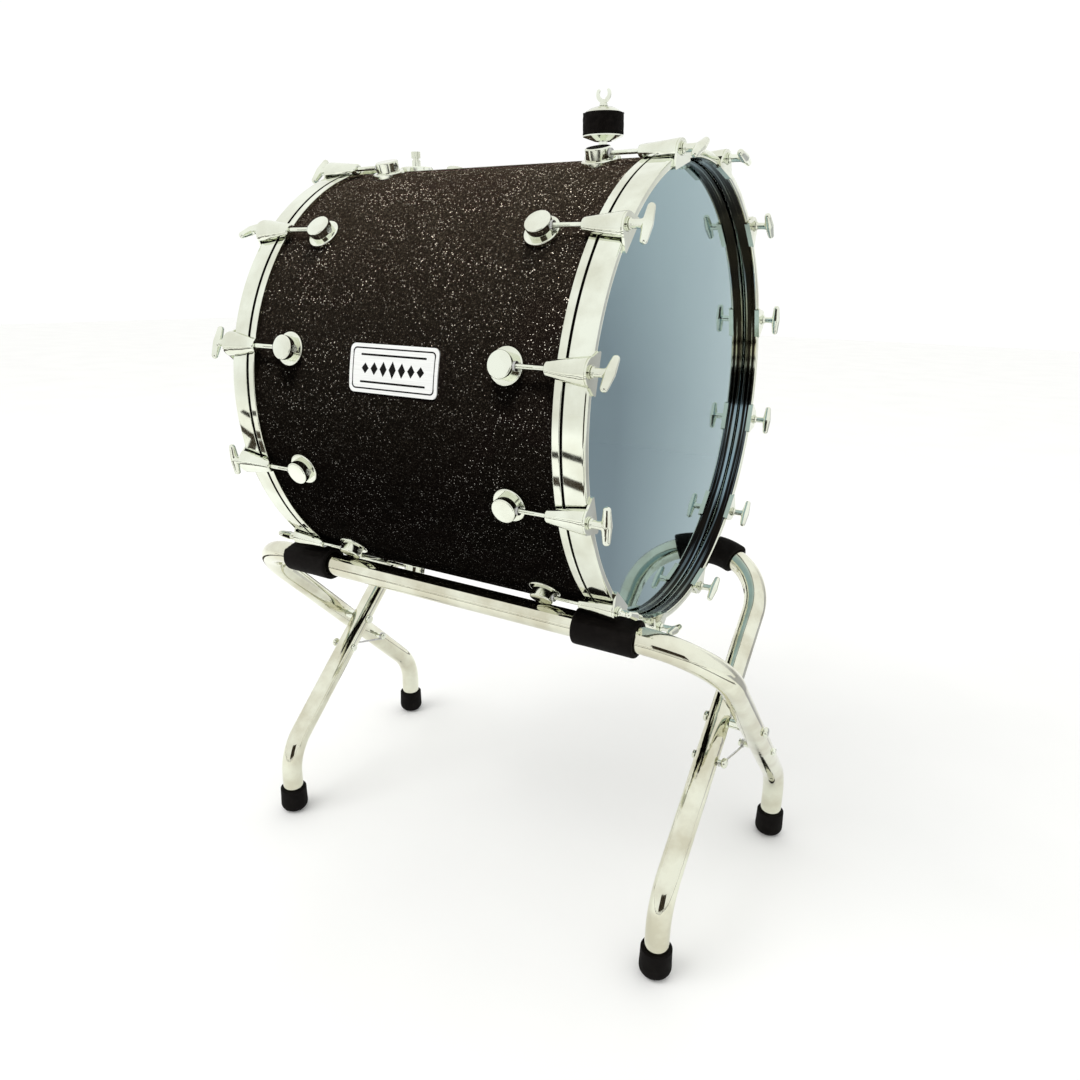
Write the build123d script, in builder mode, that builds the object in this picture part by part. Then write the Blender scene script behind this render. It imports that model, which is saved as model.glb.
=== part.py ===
"""Concert bass drum, 22 x 18 inch, with a cymbal stem on top, resting on a folding tube stand.

Millimetres.  +Z is up, the drum axis runs along X, the playing head faces +X and the badge faces -Y.
The origin is on the floor, under the middle of the drum.
"""
import os
from math import asin, cos, degrees, radians, sin

from build123d import *

# ---------------------------------------------------------------- drum placement
AXIS_HEIGHT = 703.2
DRUM_ROLL = -3.3
LUG_CLOCKS = (15, 45, 75, 105, 135, 165, -165, -135, -105, -75, -45, -15)

# ---------------------------------------------------------------- shell and wrap
WRAP_RADIUS = 279.4
WRAP_THICKNESS = 1.0
WRAP_HALF_LENGTH = 221.5
SHELL_GLUE_GAP = 0.02
SHELL_RADIUS = WRAP_RADIUS - WRAP_THICKNESS - SHELL_GLUE_GAP
SHELL_THICKNESS = 8.0
SHELL_HALF_LENGTH = 227.4
SHELL_BORE = SHELL_RADIUS - SHELL_THICKNESS
BEARING_CHAMFER = 5.0
BEARING_ROUND = 2.6
SCREW_HOLE = 5.8

# ---------------------------------------------------------------- heads
FILM = 0.3
HEAD_FACE = 227.45
HEAD_EDGE_RADIUS = 275.4
HEAD_COLLAR_RADIUS = 279.68
HEAD_COLLAR_START = 223.2
HEAD_COLLAR_END = 211.0
FLESH_INNER = 280.05
FLESH_OUTER = 285.3
FLESH_NEAR = 210.1
FLESH_FAR = 219.4
FLESH_ROUND = 1.2

# ---------------------------------------------------------------- counter hoops
HOOP_OUTER = 285.65
HOOP_SHEET = 1.5
HOOP_LIP_INNER = 275.6
HOOP_NEAR = 222.7
HOOP_FAR = 247.9
HOOP_WALL_END = 230.0
HOOP_WEB_INNER = 280.9
HOOP_FOOT = 219.7
HOOP_OUTER_ROUND = 3.4
HOOP_INNER_ROUND = 2.2
HOOP_EDGE_ROUND = 0.5

# ---------------------------------------------------------------- lugs
LUG_STATION = 151.74
LUG_BASE_RADIUS = 20.0
LUG_BASE_TOP = 284.4
LUG_BASE_EDGE = 1.4
LUG_BARREL_RADIUS = 14.5
LUG_BARREL_TOP = 296.8
LUG_BARREL_ROUND = 1.6
SEAT_GAP = 0.05
INSERT_RADIUS = 4.4
INSERT_BORE_IN_LUG = 4.5
INSERT_COLLAR_RADIUS = 5.2
INSERT_COLLAR = 2.6
INSERT_BACK = 12.0
LUG_SCREW_RADIUS = 2.5
LUG_SCREW_TIP = 284.0
SCREW_HEAD_RADIUS = 4.6
SCREW_HEAD_HEIGHT = 3.0
SHELL_WASHER_RADIUS = 7.5
SHELL_WASHER_THICKNESS = 1.2
SHELL_WASHER_SEAT = 270.15

# ---------------------------------------------------------------- claws and T rods
ROD_LINE = 289.8
ROD_RADIUS = 2.6
ROD_CLEARANCE = 0.15
ROD_START = 143.0
CLAW_SECTIONS = (
    (201.8, 7.5, 6.4, 289.8),
    (206.0, 8.2, 6.8, 289.8),
    (216.5, 10.2, 7.9, 289.5),
    (230.0, 12.6, 9.6, 289.0),
    (240.0, 14.2, 11.0, 288.6),
    (248.2, 15.0, 11.8, 288.4),
)
CLAW_WALL = 1.9
CLAW_NOSE_ROUND = 2.0
CLAW_CAVITY_START = 1
CLAW_UNDERSIDE = 287.9
CLAW_UNDERSIDE_START = 208.0
CLAW_HOLE = 3.0
PLATE_BACK = 248.0
PLATE_THICKNESS = 2.6
PLATE_HALF_FOOT = 21.5
PLATE_BOTTOM = 272.9
PLATE_SHOULDER = 276.6
PLATE_HALF_NECK = 15.0
PLATE_NECK = 287.6
PLATE_TOP = 300.0
HOOK_LIP_TOP = 274.4
HOOK_LIP_DEPTH = 4.0
HOOK_LIP_HALF = 20.0
ROD_WASHER_RADIUS = 7.0
ROD_WASHER_THICKNESS = 1.5
ROD_STACK_GAP = 0.1
NECK_RADIUS = 4.5
NECK_COLLAR_RADIUS = 5.8
NECK_COLLAR = 1.8
T_BAR_STATION = 270.4
T_BAR_HALF = 20.8
T_BAR_RADIUS = 5.8
T_BAR_END_RADIUS = 4.1
FRONT_TWISTS = (0, -1, -13, 5, 9, 17, 6, 17, -15, -30, 17, 10)
REAR_TWISTS = (8, -16, 21, -6, 12, -11, 18, 17, -10, -10, -27, 29)

# ---------------------------------------------------------------- badge
BADGE_CLOCK = -81.2
BADGE_CENTRE = 4.0
BADGE_LENGTH = 124.0
BADGE_HEIGHT = 54.0
BADGE_CORNER = 7.0
BADGE_THICKNESS = 1.3
BADGE_SEAT = 0.05
BADGE_BORDER = 4.2
BADGE_GROOVE = 1.4
BADGE_GROOVE_DEPTH = 0.5

# ---------------------------------------------------------------- cymbal stem and accessory post
STEM_STATION = 120.0
STEM_RADIUS = 5.2
STEM_SCREW_RADIUS = 2.6
STEM_SHOULDER = 300.0
STEM_END = 344.0
FITTING_BASE_RADIUS = 22.0
FITTING_BASE_TOP = 284.6
CUP_NECK = 300.1
CUP_NECK_RADIUS = 10.5
CUP_RIM = 306.4
CUP_RIM_RADIUS = 24.0
CUP_WALL = 1.4
FELT_RADIUS = 24.8
FELT_BOTTOM = 306.6
FELT_TOP = 330.6
FELT_ROUND = 2.4
TOP_WASHER_RADIUS = 22.0
TOP_WASHER_BOTTOM = 330.8
TOP_WASHER_RISE = 7.0
TOP_WASHER_SHEET = 1.4
SCREW_FIT = 0.15
WING_BOTTOM = 338.1
WING_COLLAR_RADIUS = 4.8
WING_COLLAR = 2.0
WING_HUB_RADIUS = 3.9
WING_HUB = 6.4
WING_ROOT = 3.6
WING_ROOT_HEIGHT = 341.4
WING_FORK = 345.6
WING_BELLY = 9.2
WING_BELLY_HEIGHT = 348.2
WING_TIP = 8.3
WING_TIP_HEIGHT = 354.2
WING_TOP = 355.5
WING_WIDTH = 3.9
WING_SHEET = 2.2
POST_STATION = -164.0
POST_RADIUS = 5.7
POST_SHOULDER = 293.3
POST_NECK_RADIUS = 4.3
POST_TOP = 303.2
COLLAR_BOTTOM = 296.1
COLLAR_TOP = 304.0
COLLAR_RADIUS = 6.1
COLLAR_FIT = 0.05
KNURLS = 24
KNURL_DEPTH = 0.35

# ---------------------------------------------------------------- stand
TUBE_RADIUS = 15.9
TUBE_WALL = 1.8
OUTER_HALF_WIDTH = 369.0
INNER_HALF_WIDTH = 322.5
RAIL_OFFSET = 184.0
RAIL_HEIGHT = 455.2
FOOT_OFFSET = 180.0
KNEE_HEIGHT = 104.5
BEND_RADIUS = 90.0
TUBE_END = 5.4
SLEEVE_RADIUS = 22.8
SLEEVE_BORE = 16.0
SLEEVE_NEAR = 195.0
SLEEVE_FAR = 274.0
SLEEVE_EDGE = 1.6
DENT_DEPTH_LINE = 17.3
DENT_START = 198.0
FOOT_RADIUS = 21.6
FOOT_MOUTH_RADIUS = 20.4
FOOT_HEIGHT = 40.0
FOOT_FLOOR = 5.0
FOOT_ROUND = 12.0
FOOT_MOUTH_ROUND = 0.8
FOOT_BORE = 16.1

# ---------------------------------------------------------------- stand pivot and struts
PIVOT_RADIUS = 4.0
PIVOT_CLEARANCE = 0.2
PIVOT_HEAD_RADIUS = 7.5
PIVOT_HEAD = 5.0
SPACER_RADIUS = 7.2
SIDE_GAP = 0.3
STUD_RADIUS = 3.0
STUD_HEAD_RADIUS = 6.0
STUD_HEAD = 3.8
OUTER_STUD_OFFSET = 70.0
INNER_STUD_OFFSET = -40.0
STRUT_STATION = 341.0
STRUT_WIRE = 1.6
STRUT_EYE_RADIUS = 6.7
STRUT_EYE_HALF = 1.75
STRUT_EYE_BORE = 3.25
STRUT_WRAP = 95.0
STRUT_HOOK_RADIUS = 4.95
BALL_RADIUS = 7.2
BALL_LENGTH = 8.0
STUD_SHOULDER_RADIUS = 4.5
CAP_NUT_RADIUS = 5.6
CAP_NUT = 4.6

# ---------------------------------------------------------------- shared planes and helpers
DRUM_CENTRE = Vector(0, 0, AXIS_HEIGHT)
DRUM_AXIS = Axis(DRUM_CENTRE, (1, 0, 0))
RING_PLANE = Plane(origin=DRUM_CENTRE, x_dir=(1, 0, 0), z_dir=(0, -1, 0))
DISC_PLANE = Plane(origin=DRUM_CENTRE, x_dir=(0, 1, 0), z_dir=(1, 0, 0))
MID_PLANE = Plane.YZ
LEG_RUN = RAIL_OFFSET + FOOT_OFFSET
LEG_FALL = RAIL_HEIGHT - KNEE_HEIGHT
BIG = 700.0


def clock_location(clock):
    """Turn a part drawn at the top of the drum round to a clock angle, in degrees."""
    turn = radians(clock)
    return Plane(origin=DRUM_CENTRE, x_dir=(1, 0, 0), z_dir=(0, sin(turn), cos(turn))).location


def radial_plane(station, clock, radius):
    """A plane whose normal points out of the drum, at a station along X and a radius."""
    turn = radians(clock)
    spot = (station, radius * sin(turn), AXIS_HEIGHT + radius * cos(turn))
    return Plane(origin=spot, x_dir=(1, 0, 0), z_dir=(0, sin(turn), cos(turn)))


def along_x(station, offset, height):
    """A plane facing +X, at a point."""
    return Plane(origin=(station, offset, height), x_dir=(0, 1, 0), z_dir=(1, 0, 0))


def leg_height(offset, side):
    """Height of a leg's centre line where it passes an offset in Y; side is +1 for the outer frame."""
    return RAIL_HEIGHT - LEG_FALL * (RAIL_OFFSET + side * offset) / LEG_RUN


def finish(solid, label):
    """Name a finished part and save it."""
    solid.label = label
    export_step(solid, f"parts/{label}.step")


def both_sides(clocks):
    """Rod positions as (side, number, clock)."""
    places = []
    for side in (1, -1):
        for number, clock in enumerate(clocks, start=1):
            places.append((side, number, clock + DRUM_ROLL))
    return places


ROD_PLACES = both_sides(LUG_CLOCKS)
LUG_PLANES = [(side * LUG_STATION, clock) for side, number, clock in ROD_PLACES]
TOP_CLOCK = DRUM_ROLL
PIVOT_HEIGHT = leg_height(0, 1)
OUTER_STUD_HEIGHT = leg_height(OUTER_STUD_OFFSET, 1)
INNER_STUD_HEIGHT = leg_height(INNER_STUD_OFFSET, -1)

os.makedirs("parts", exist_ok=True)

# ================================================================ shell, wrap
with BuildPart() as shell:
    with BuildSketch(DISC_PLANE):
        Circle(SHELL_RADIUS)
        Circle(SHELL_BORE, mode=Mode.SUBTRACT)
    extrude(amount=SHELL_HALF_LENGTH, both=True)
    inner_edges = [e for e in shell.edges().filter_by(GeomType.CIRCLE) if e.radius < SHELL_BORE + 1]
    chamfer(inner_edges, length=BEARING_CHAMFER)
    outer_edges = [e for e in shell.edges().filter_by(GeomType.CIRCLE) if e.radius > SHELL_RADIUS - 1]
    fillet(outer_edges, radius=BEARING_ROUND)
    for station, clock in LUG_PLANES + [(STEM_STATION, TOP_CLOCK), (POST_STATION, TOP_CLOCK)]:
        with BuildSketch(radial_plane(station, clock, SHELL_BORE - SHELL_THICKNESS)):
            Circle(SCREW_HOLE / 2)
        extrude(amount=SHELL_THICKNESS * 3, mode=Mode.SUBTRACT)
finish(shell.part, "shell")

with BuildPart() as wrap:
    with BuildSketch(DISC_PLANE):
        Circle(WRAP_RADIUS)
        Circle(WRAP_RADIUS - WRAP_THICKNESS, mode=Mode.SUBTRACT)
    extrude(amount=WRAP_HALF_LENGTH, both=True)
    for station, clock in LUG_PLANES + [(STEM_STATION, TOP_CLOCK), (POST_STATION, TOP_CLOCK)]:
        with BuildSketch(radial_plane(station, clock, SHELL_BORE)):
            Circle(SCREW_HOLE / 2)
        extrude(amount=SHELL_THICKNESS * 2, mode=Mode.SUBTRACT)
finish(wrap.part, "wrap")

# ================================================================ heads and flesh hoops
for end, end_name in ((1, "front"), (-1, "rear")):
    with BuildPart() as head_film:
        with BuildSketch(RING_PLANE):
            with BuildLine():
                face = end * HEAD_FACE
                outer_face = end * (HEAD_FACE + FILM)
                outer_collar = HEAD_COLLAR_RADIUS + FILM
                bend = end * HEAD_COLLAR_START
                collar_end = end * HEAD_COLLAR_END
                Line((face, 0), (outer_face, 0))
                Line((outer_face, 0), (outer_face, HEAD_EDGE_RADIUS))
                RadiusArc(
                    (outer_face, HEAD_EDGE_RADIUS),
                    (bend, outer_collar),
                    -end * (outer_collar - HEAD_EDGE_RADIUS),
                )
                Line((bend, outer_collar), (collar_end, outer_collar))
                Line((collar_end, outer_collar), (collar_end, HEAD_COLLAR_RADIUS))
                Line((collar_end, HEAD_COLLAR_RADIUS), (bend, HEAD_COLLAR_RADIUS))
                RadiusArc(
                    (bend, HEAD_COLLAR_RADIUS),
                    (face, HEAD_EDGE_RADIUS),
                    end * (HEAD_COLLAR_RADIUS - HEAD_EDGE_RADIUS),
                )
                Line((face, HEAD_EDGE_RADIUS), (face, 0))
            make_face()
        revolve(axis=DRUM_AXIS)
    finish(head_film.part, f"head_film_{end_name}")

with BuildPart() as flesh_hoops:
    with BuildSketch(RING_PLANE) as flesh_profile:
        with Locations(((FLESH_NEAR + FLESH_FAR) / 2, (FLESH_INNER + FLESH_OUTER) / 2)):
            Rectangle(FLESH_FAR - FLESH_NEAR, FLESH_OUTER - FLESH_INNER)
        fillet(flesh_profile.vertices().group_by(Axis.Y)[-1], radius=FLESH_ROUND)
    revolve(axis=DRUM_AXIS)
    mirror(about=MID_PLANE)
finish(flesh_hoops.part, "flesh_hoops")

# ================================================================ counter hoops
with BuildPart() as hoop_front:
    with BuildSketch(RING_PLANE) as hoop_profile:
        with BuildLine():
            wall_inside = HOOP_OUTER - HOOP_SHEET
            lip_back = HOOP_FAR - HOOP_SHEET
            Polyline(
                (HOOP_NEAR, HOOP_OUTER),
                (HOOP_FAR, HOOP_OUTER),
                (HOOP_FAR, HOOP_LIP_INNER),
                (HOOP_WALL_END, HOOP_LIP_INNER),
                (HOOP_WALL_END, HOOP_LIP_INNER + HOOP_SHEET),
                (lip_back, HOOP_LIP_INNER + HOOP_SHEET),
                (lip_back, wall_inside),
                (HOOP_NEAR + HOOP_SHEET, wall_inside),
                (HOOP_NEAR + HOOP_SHEET, HOOP_WEB_INNER),
                (HOOP_FOOT, HOOP_WEB_INNER),
                (HOOP_FOOT, HOOP_WEB_INNER + HOOP_SHEET),
                (HOOP_NEAR, HOOP_WEB_INNER + HOOP_SHEET),
                close=True,
            )
        make_face()
        front_corners = [v for v in hoop_profile.vertices() if v.X > HOOP_FAR - HOOP_SHEET / 2]
        fillet(sorted(front_corners, key=lambda v: v.Y)[-1], radius=HOOP_OUTER_ROUND)
        front_corners = [v for v in hoop_profile.vertices() if v.X > HOOP_FAR - HOOP_SHEET / 2]
        fillet(sorted(front_corners, key=lambda v: v.Y)[0], radius=HOOP_INNER_ROUND)
        back_corners = [v for v in hoop_profile.vertices() if abs(v.X - HOOP_NEAR) < HOOP_SHEET / 2]
        fillet(sorted(back_corners, key=lambda v: v.Y)[-1], radius=HOOP_EDGE_ROUND)
    revolve(axis=DRUM_AXIS)
finish(hoop_front.part, "hoop_front")

with BuildPart() as hoop_rear:
    mirror(hoop_front.part, about=MID_PLANE)
finish(hoop_rear.part, "hoop_rear")

# ================================================================ lugs
with BuildPart() as lug_base_pattern:
    with BuildSketch(radial_plane(LUG_STATION, 0, SHELL_RADIUS)):
        Circle(LUG_BASE_RADIUS)
    extrude(amount=LUG_BASE_TOP - SHELL_RADIUS)
    top_edge = lug_base_pattern.faces().sort_by(Axis.Z)[-1].edges()
    fillet(top_edge, radius=LUG_BASE_EDGE)
    with BuildSketch(DISC_PLANE):
        Circle(WRAP_RADIUS + SEAT_GAP)
    extrude(amount=BIG, mode=Mode.SUBTRACT)
    with BuildSketch(radial_plane(LUG_STATION, 0, SHELL_RADIUS)):
        Circle(LUG_SCREW_RADIUS + SEAT_GAP)
    extrude(amount=LUG_BASE_TOP, mode=Mode.SUBTRACT)

with BuildPart() as lug_barrel_pattern:
    with BuildSketch(radial_plane(LUG_STATION, 0, LUG_BASE_TOP + SEAT_GAP)):
        Circle(LUG_BARREL_RADIUS)
    extrude(amount=LUG_BARREL_TOP - LUG_BASE_TOP - SEAT_GAP)
    fillet(lug_barrel_pattern.faces().sort_by(Axis.Z)[-1].edges(), radius=LUG_BARREL_ROUND)
    with BuildSketch(along_x(LUG_STATION, 0, AXIS_HEIGHT + ROD_LINE)):
        Circle(INSERT_BORE_IN_LUG)
    extrude(amount=LUG_BASE_RADIUS, both=True, mode=Mode.SUBTRACT)

with BuildPart() as lug_insert_pattern:
    insert_back = LUG_STATION - INSERT_BACK
    insert_front = LUG_STATION + LUG_BARREL_RADIUS
    with BuildSketch(along_x(insert_back, 0, AXIS_HEIGHT + ROD_LINE)):
        Circle(INSERT_RADIUS)
    extrude(amount=insert_front - insert_back + INSERT_COLLAR / 2)
    with BuildSketch(along_x(insert_front + SEAT_GAP, 0, AXIS_HEIGHT + ROD_LINE)):
        Circle(INSERT_COLLAR_RADIUS)
    extrude(amount=INSERT_COLLAR)
    fillet(lug_insert_pattern.faces().sort_by(Axis.X)[-1].edges(), radius=HOOP_EDGE_ROUND)
    with BuildSketch(along_x(insert_back, 0, AXIS_HEIGHT + ROD_LINE)):
        Circle(ROD_RADIUS + ROD_CLEARANCE)
    extrude(amount=LUG_BASE_RADIUS * 2, mode=Mode.SUBTRACT)

with BuildPart() as screw_pattern:
    head_bottom = SHELL_WASHER_SEAT - SHELL_WASHER_THICKNESS - SEAT_GAP
    with BuildSketch(radial_plane(LUG_STATION, 0, head_bottom - SCREW_HEAD_HEIGHT)):
        Circle(SCREW_HEAD_RADIUS)
    extrude(amount=SCREW_HEAD_HEIGHT)
    fillet(screw_pattern.faces().sort_by(Axis.Z)[0].edges(), radius=LUG_BASE_EDGE)
    with BuildSketch(radial_plane(LUG_STATION, 0, head_bottom)):
        Circle(LUG_SCREW_RADIUS)
    extrude(amount=LUG_SCREW_TIP - head_bottom)

with BuildPart() as washer_pattern:
    washer_inside = SHELL_WASHER_SEAT - SHELL_WASHER_THICKNESS
    with BuildSketch(radial_plane(LUG_STATION, 0, washer_inside)):
        Circle(SHELL_WASHER_RADIUS)
        Circle(SCREW_HOLE / 2, mode=Mode.SUBTRACT)
    extrude(amount=SHELL_WASHER_THICKNESS)


def ring_of(pattern, extra=()):
    """Copies of a part drawn at the top front lug, at all lugs, plus spare stations at the top."""
    with BuildPart() as group:
        front = pattern
        rear = mirror(pattern, about=MID_PLANE, mode=Mode.PRIVATE)
        for side, number, clock in ROD_PLACES:
            source = front if side > 0 else rear
            add(clock_location(clock) * source.moved(Location(-DRUM_CENTRE)))
        for station in extra:
            shift = Location(Vector(station - LUG_STATION, 0, 0) - DRUM_CENTRE)
            add(clock_location(TOP_CLOCK) * front.moved(shift))
    return group.part


finish(ring_of(lug_base_pattern.part), "lug_bases")
finish(ring_of(lug_barrel_pattern.part), "lug_barrels")
finish(ring_of(lug_insert_pattern.part), "lug_inserts")
FITTING_STATIONS = (STEM_STATION, POST_STATION)
finish(ring_of(screw_pattern.part, FITTING_STATIONS), "shell_screws")
finish(ring_of(washer_pattern.part, FITTING_STATIONS), "shell_washers")

# ================================================================ claws
with BuildPart() as claw_pattern:
    for station, half_width, half_height, middle in CLAW_SECTIONS:
        with BuildSketch(along_x(station, 0, AXIS_HEIGHT + middle)):
            Ellipse(half_width, half_height)
    loft()
    fillet(claw_pattern.faces().sort_by(Axis.X)[0].edges(), radius=CLAW_NOSE_ROUND)
    with BuildPart(mode=Mode.PRIVATE) as claw_cavity:
        for station, half_width, half_height, middle in CLAW_SECTIONS[CLAW_CAVITY_START:]:
            with BuildSketch(along_x(station, 0, AXIS_HEIGHT + middle)):
                Ellipse(half_width - CLAW_WALL, half_height - CLAW_WALL)
        loft()
    add(claw_cavity.part, mode=Mode.SUBTRACT)
    with BuildSketch(Plane.XZ) as underside:
        with Locations((CLAW_UNDERSIDE_START, AXIS_HEIGHT + CLAW_UNDERSIDE)):
            Rectangle(BIG, BIG, align=(Align.MIN, Align.MAX))
    extrude(amount=PLATE_HALF_FOOT, both=True, mode=Mode.SUBTRACT)
    with BuildSketch(along_x(PLATE_BACK, 0, AXIS_HEIGHT)) as plate_outline:
        with BuildLine():
            Polyline(
                (-PLATE_HALF_NECK, PLATE_NECK),
                (-PLATE_HALF_FOOT, PLATE_SHOULDER),
                (-PLATE_HALF_FOOT, PLATE_BOTTOM),
                (PLATE_HALF_FOOT, PLATE_BOTTOM),
                (PLATE_HALF_FOOT, PLATE_SHOULDER),
                (PLATE_HALF_NECK, PLATE_NECK),
            )
            ThreePointArc((PLATE_HALF_NECK, PLATE_NECK), (0, PLATE_TOP), (-PLATE_HALF_NECK, PLATE_NECK))
        make_face()
        foot_corners = [v for v in plate_outline.vertices() if abs(v.Y) > PLATE_HALF_NECK + 1]
        fillet(foot_corners, radius=LUG_BASE_EDGE)
    extrude(amount=PLATE_THICKNESS)
    with BuildSketch(Plane.XZ):
        with Locations((PLATE_BACK, AXIS_HEIGHT + PLATE_BOTTOM)):
            Rectangle(HOOK_LIP_DEPTH, HOOK_LIP_TOP - PLATE_BOTTOM, align=(Align.MAX, Align.MIN))
    extrude(amount=HOOK_LIP_HALF, both=True)
    with BuildSketch(along_x(CLAW_SECTIONS[0][0] - 1, 0, AXIS_HEIGHT + ROD_LINE)):
        Circle(CLAW_HOLE)
    extrude(amount=ROD_START, mode=Mode.SUBTRACT)

with BuildPart() as rod_washer_pattern:
    with BuildSketch(along_x(PLATE_BACK + PLATE_THICKNESS + ROD_STACK_GAP, 0, AXIS_HEIGHT + ROD_LINE)):
        Circle(ROD_WASHER_RADIUS)
        Circle(CLAW_HOLE, mode=Mode.SUBTRACT)
    extrude(amount=ROD_WASHER_THICKNESS)
    fillet(rod_washer_pattern.faces().sort_by(Axis.X)[-1].edges(), radius=ROD_STACK_GAP * 3)

finish(ring_of(claw_pattern.part), "claws")
finish(ring_of(rod_washer_pattern.part), "rod_washers")

# ================================================================ tension rods
with BuildPart() as rod_pattern:
    neck_start = PLATE_BACK + PLATE_THICKNESS + ROD_WASHER_THICKNESS + 2 * ROD_STACK_GAP
    with BuildSketch(along_x(ROD_START, 0, AXIS_HEIGHT + ROD_LINE)):
        Circle(ROD_RADIUS)
    extrude(amount=T_BAR_STATION - ROD_START)
    chamfer(rod_pattern.faces().sort_by(Axis.X)[0].edges(), length=STUD_RADIUS / 3)
    with BuildSketch(along_x(neck_start, 0, AXIS_HEIGHT + ROD_LINE)):
        Circle(NECK_RADIUS)
    extrude(amount=T_BAR_STATION - neck_start)
    with BuildSketch(along_x(neck_start, 0, AXIS_HEIGHT + ROD_LINE)):
        Circle(NECK_COLLAR_RADIUS)
    extrude(amount=NECK_COLLAR)
    bar_axis = Axis((T_BAR_STATION, 0, AXIS_HEIGHT + ROD_LINE), (0, 1, 0))
    bar_plane = Plane(origin=bar_axis.position, x_dir=(0, 1, 0), z_dir=(0, 0, 1))
    with BuildSketch(bar_plane):
        with BuildLine():
            shoulder = T_BAR_HALF - T_BAR_END_RADIUS
            bulge = T_BAR_END_RADIUS * sin(radians(45))
            Line((-T_BAR_HALF, 0), (T_BAR_HALF, 0))
            ThreePointArc((T_BAR_HALF, 0), (shoulder + bulge, bulge), (shoulder, T_BAR_END_RADIUS))
            ThreePointArc((shoulder, T_BAR_END_RADIUS), (0, T_BAR_RADIUS), (-shoulder, T_BAR_END_RADIUS))
            ThreePointArc((-shoulder, T_BAR_END_RADIUS), (-shoulder - bulge, bulge), (-T_BAR_HALF, 0))
        make_face()
    revolve(axis=bar_axis)


def turned_rod(side, clock, twist):
    """One tension rod in its lug, with its T bar turned by a twist about the rod."""
    centred = rod_pattern.part.moved(Location(-DRUM_CENTRE - Vector(0, 0, ROD_LINE)))
    twisted = Rotation(twist, 0, 0) * centred
    if side < 0:
        twisted = mirror(twisted, about=MID_PLANE, mode=Mode.PRIVATE)
    return clock_location(clock) * twisted.moved(Location((0, 0, ROD_LINE)))


TWISTS = FRONT_TWISTS + REAR_TWISTS
for (side, number, clock), twist in zip(ROD_PLACES, TWISTS):
    with BuildPart() as tension_rod:
        add(turned_rod(side, clock, twist))
    end_name = "front" if side > 0 else "rear"
    finish(tension_rod.part, f"tension_rod_{end_name}_{number:02d}")

# ================================================================ badge
with BuildPart() as badge_plate:
    inner_face = WRAP_RADIUS + BADGE_SEAT
    with BuildSketch(radial_plane(BADGE_CENTRE, BADGE_CLOCK, SHELL_BORE)):
        RectangleRounded(BADGE_LENGTH, BADGE_HEIGHT, BADGE_CORNER)
    extrude(amount=BIG / 10)
    with BuildSketch(DISC_PLANE):
        Circle(inner_face + BADGE_THICKNESS)
    extrude(amount=BIG, both=True, mode=Mode.INTERSECT)
    with BuildSketch(DISC_PLANE):
        Circle(inner_face)
    extrude(amount=BIG, both=True, mode=Mode.SUBTRACT)
    with BuildPart(mode=Mode.PRIVATE) as badge_groove:
        outer_length = BADGE_LENGTH - 2 * BADGE_BORDER
        outer_height = BADGE_HEIGHT - 2 * BADGE_BORDER
        with BuildSketch(radial_plane(BADGE_CENTRE, BADGE_CLOCK, SHELL_BORE)):
            RectangleRounded(outer_length, outer_height, BADGE_CORNER - BADGE_GROOVE)
            RectangleRounded(
                outer_length - 2 * BADGE_GROOVE,
                outer_height - 2 * BADGE_GROOVE,
                BADGE_CORNER - 2 * BADGE_GROOVE,
                mode=Mode.SUBTRACT,
            )
        extrude(amount=BIG / 10)
        with BuildSketch(DISC_PLANE):
            Circle(inner_face + BADGE_THICKNESS - BADGE_GROOVE_DEPTH)
        extrude(amount=BIG, both=True, mode=Mode.SUBTRACT)
    add(badge_groove.part, mode=Mode.SUBTRACT)
finish(badge_plate.part, "badge_plate")


# ================================================================ cymbal stem
def fitting_plane(station):
    """A plane through a top fitting's axis: sketch x is the distance from it, y the drum radius."""
    turn = radians(TOP_CLOCK)
    return Plane(origin=(station, 0, AXIS_HEIGHT), x_dir=(1, 0, 0), z_dir=(0, -cos(turn), sin(turn)))


def fitting_axis(station):
    """The axis of a top fitting."""
    turn = radians(TOP_CLOCK)
    return Axis((station, 0, AXIS_HEIGHT), (0, sin(turn), cos(turn)))


STEM_PLANE = fitting_plane(STEM_STATION)
STEM_AXIS = fitting_axis(STEM_STATION)
POST_PLANE = fitting_plane(POST_STATION)
POST_AXIS = fitting_axis(POST_STATION)
BORE = STEM_SCREW_RADIUS + SCREW_FIT

with BuildPart() as cymbal_base:
    with BuildSketch(STEM_PLANE) as base_profile:
        with BuildLine():
            Polyline(
                (LUG_SCREW_RADIUS + SEAT_GAP, SHELL_RADIUS),
                (FITTING_BASE_RADIUS, SHELL_RADIUS),
                (FITTING_BASE_RADIUS, FITTING_BASE_TOP),
                (LUG_SCREW_RADIUS + SEAT_GAP, FITTING_BASE_TOP),
                close=True,
            )
        make_face()
    revolve(axis=STEM_AXIS)
    rim = cymbal_base.faces().sort_by(Axis.Z)[-1].edges().sort_by(SortBy.RADIUS)[-1]
    fillet(rim, radius=LUG_BASE_EDGE)
    with BuildSketch(DISC_PLANE):
        Circle(WRAP_RADIUS + SEAT_GAP)
    extrude(amount=BIG, mode=Mode.SUBTRACT)
finish(cymbal_base.part, "cymbal_base")

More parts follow.
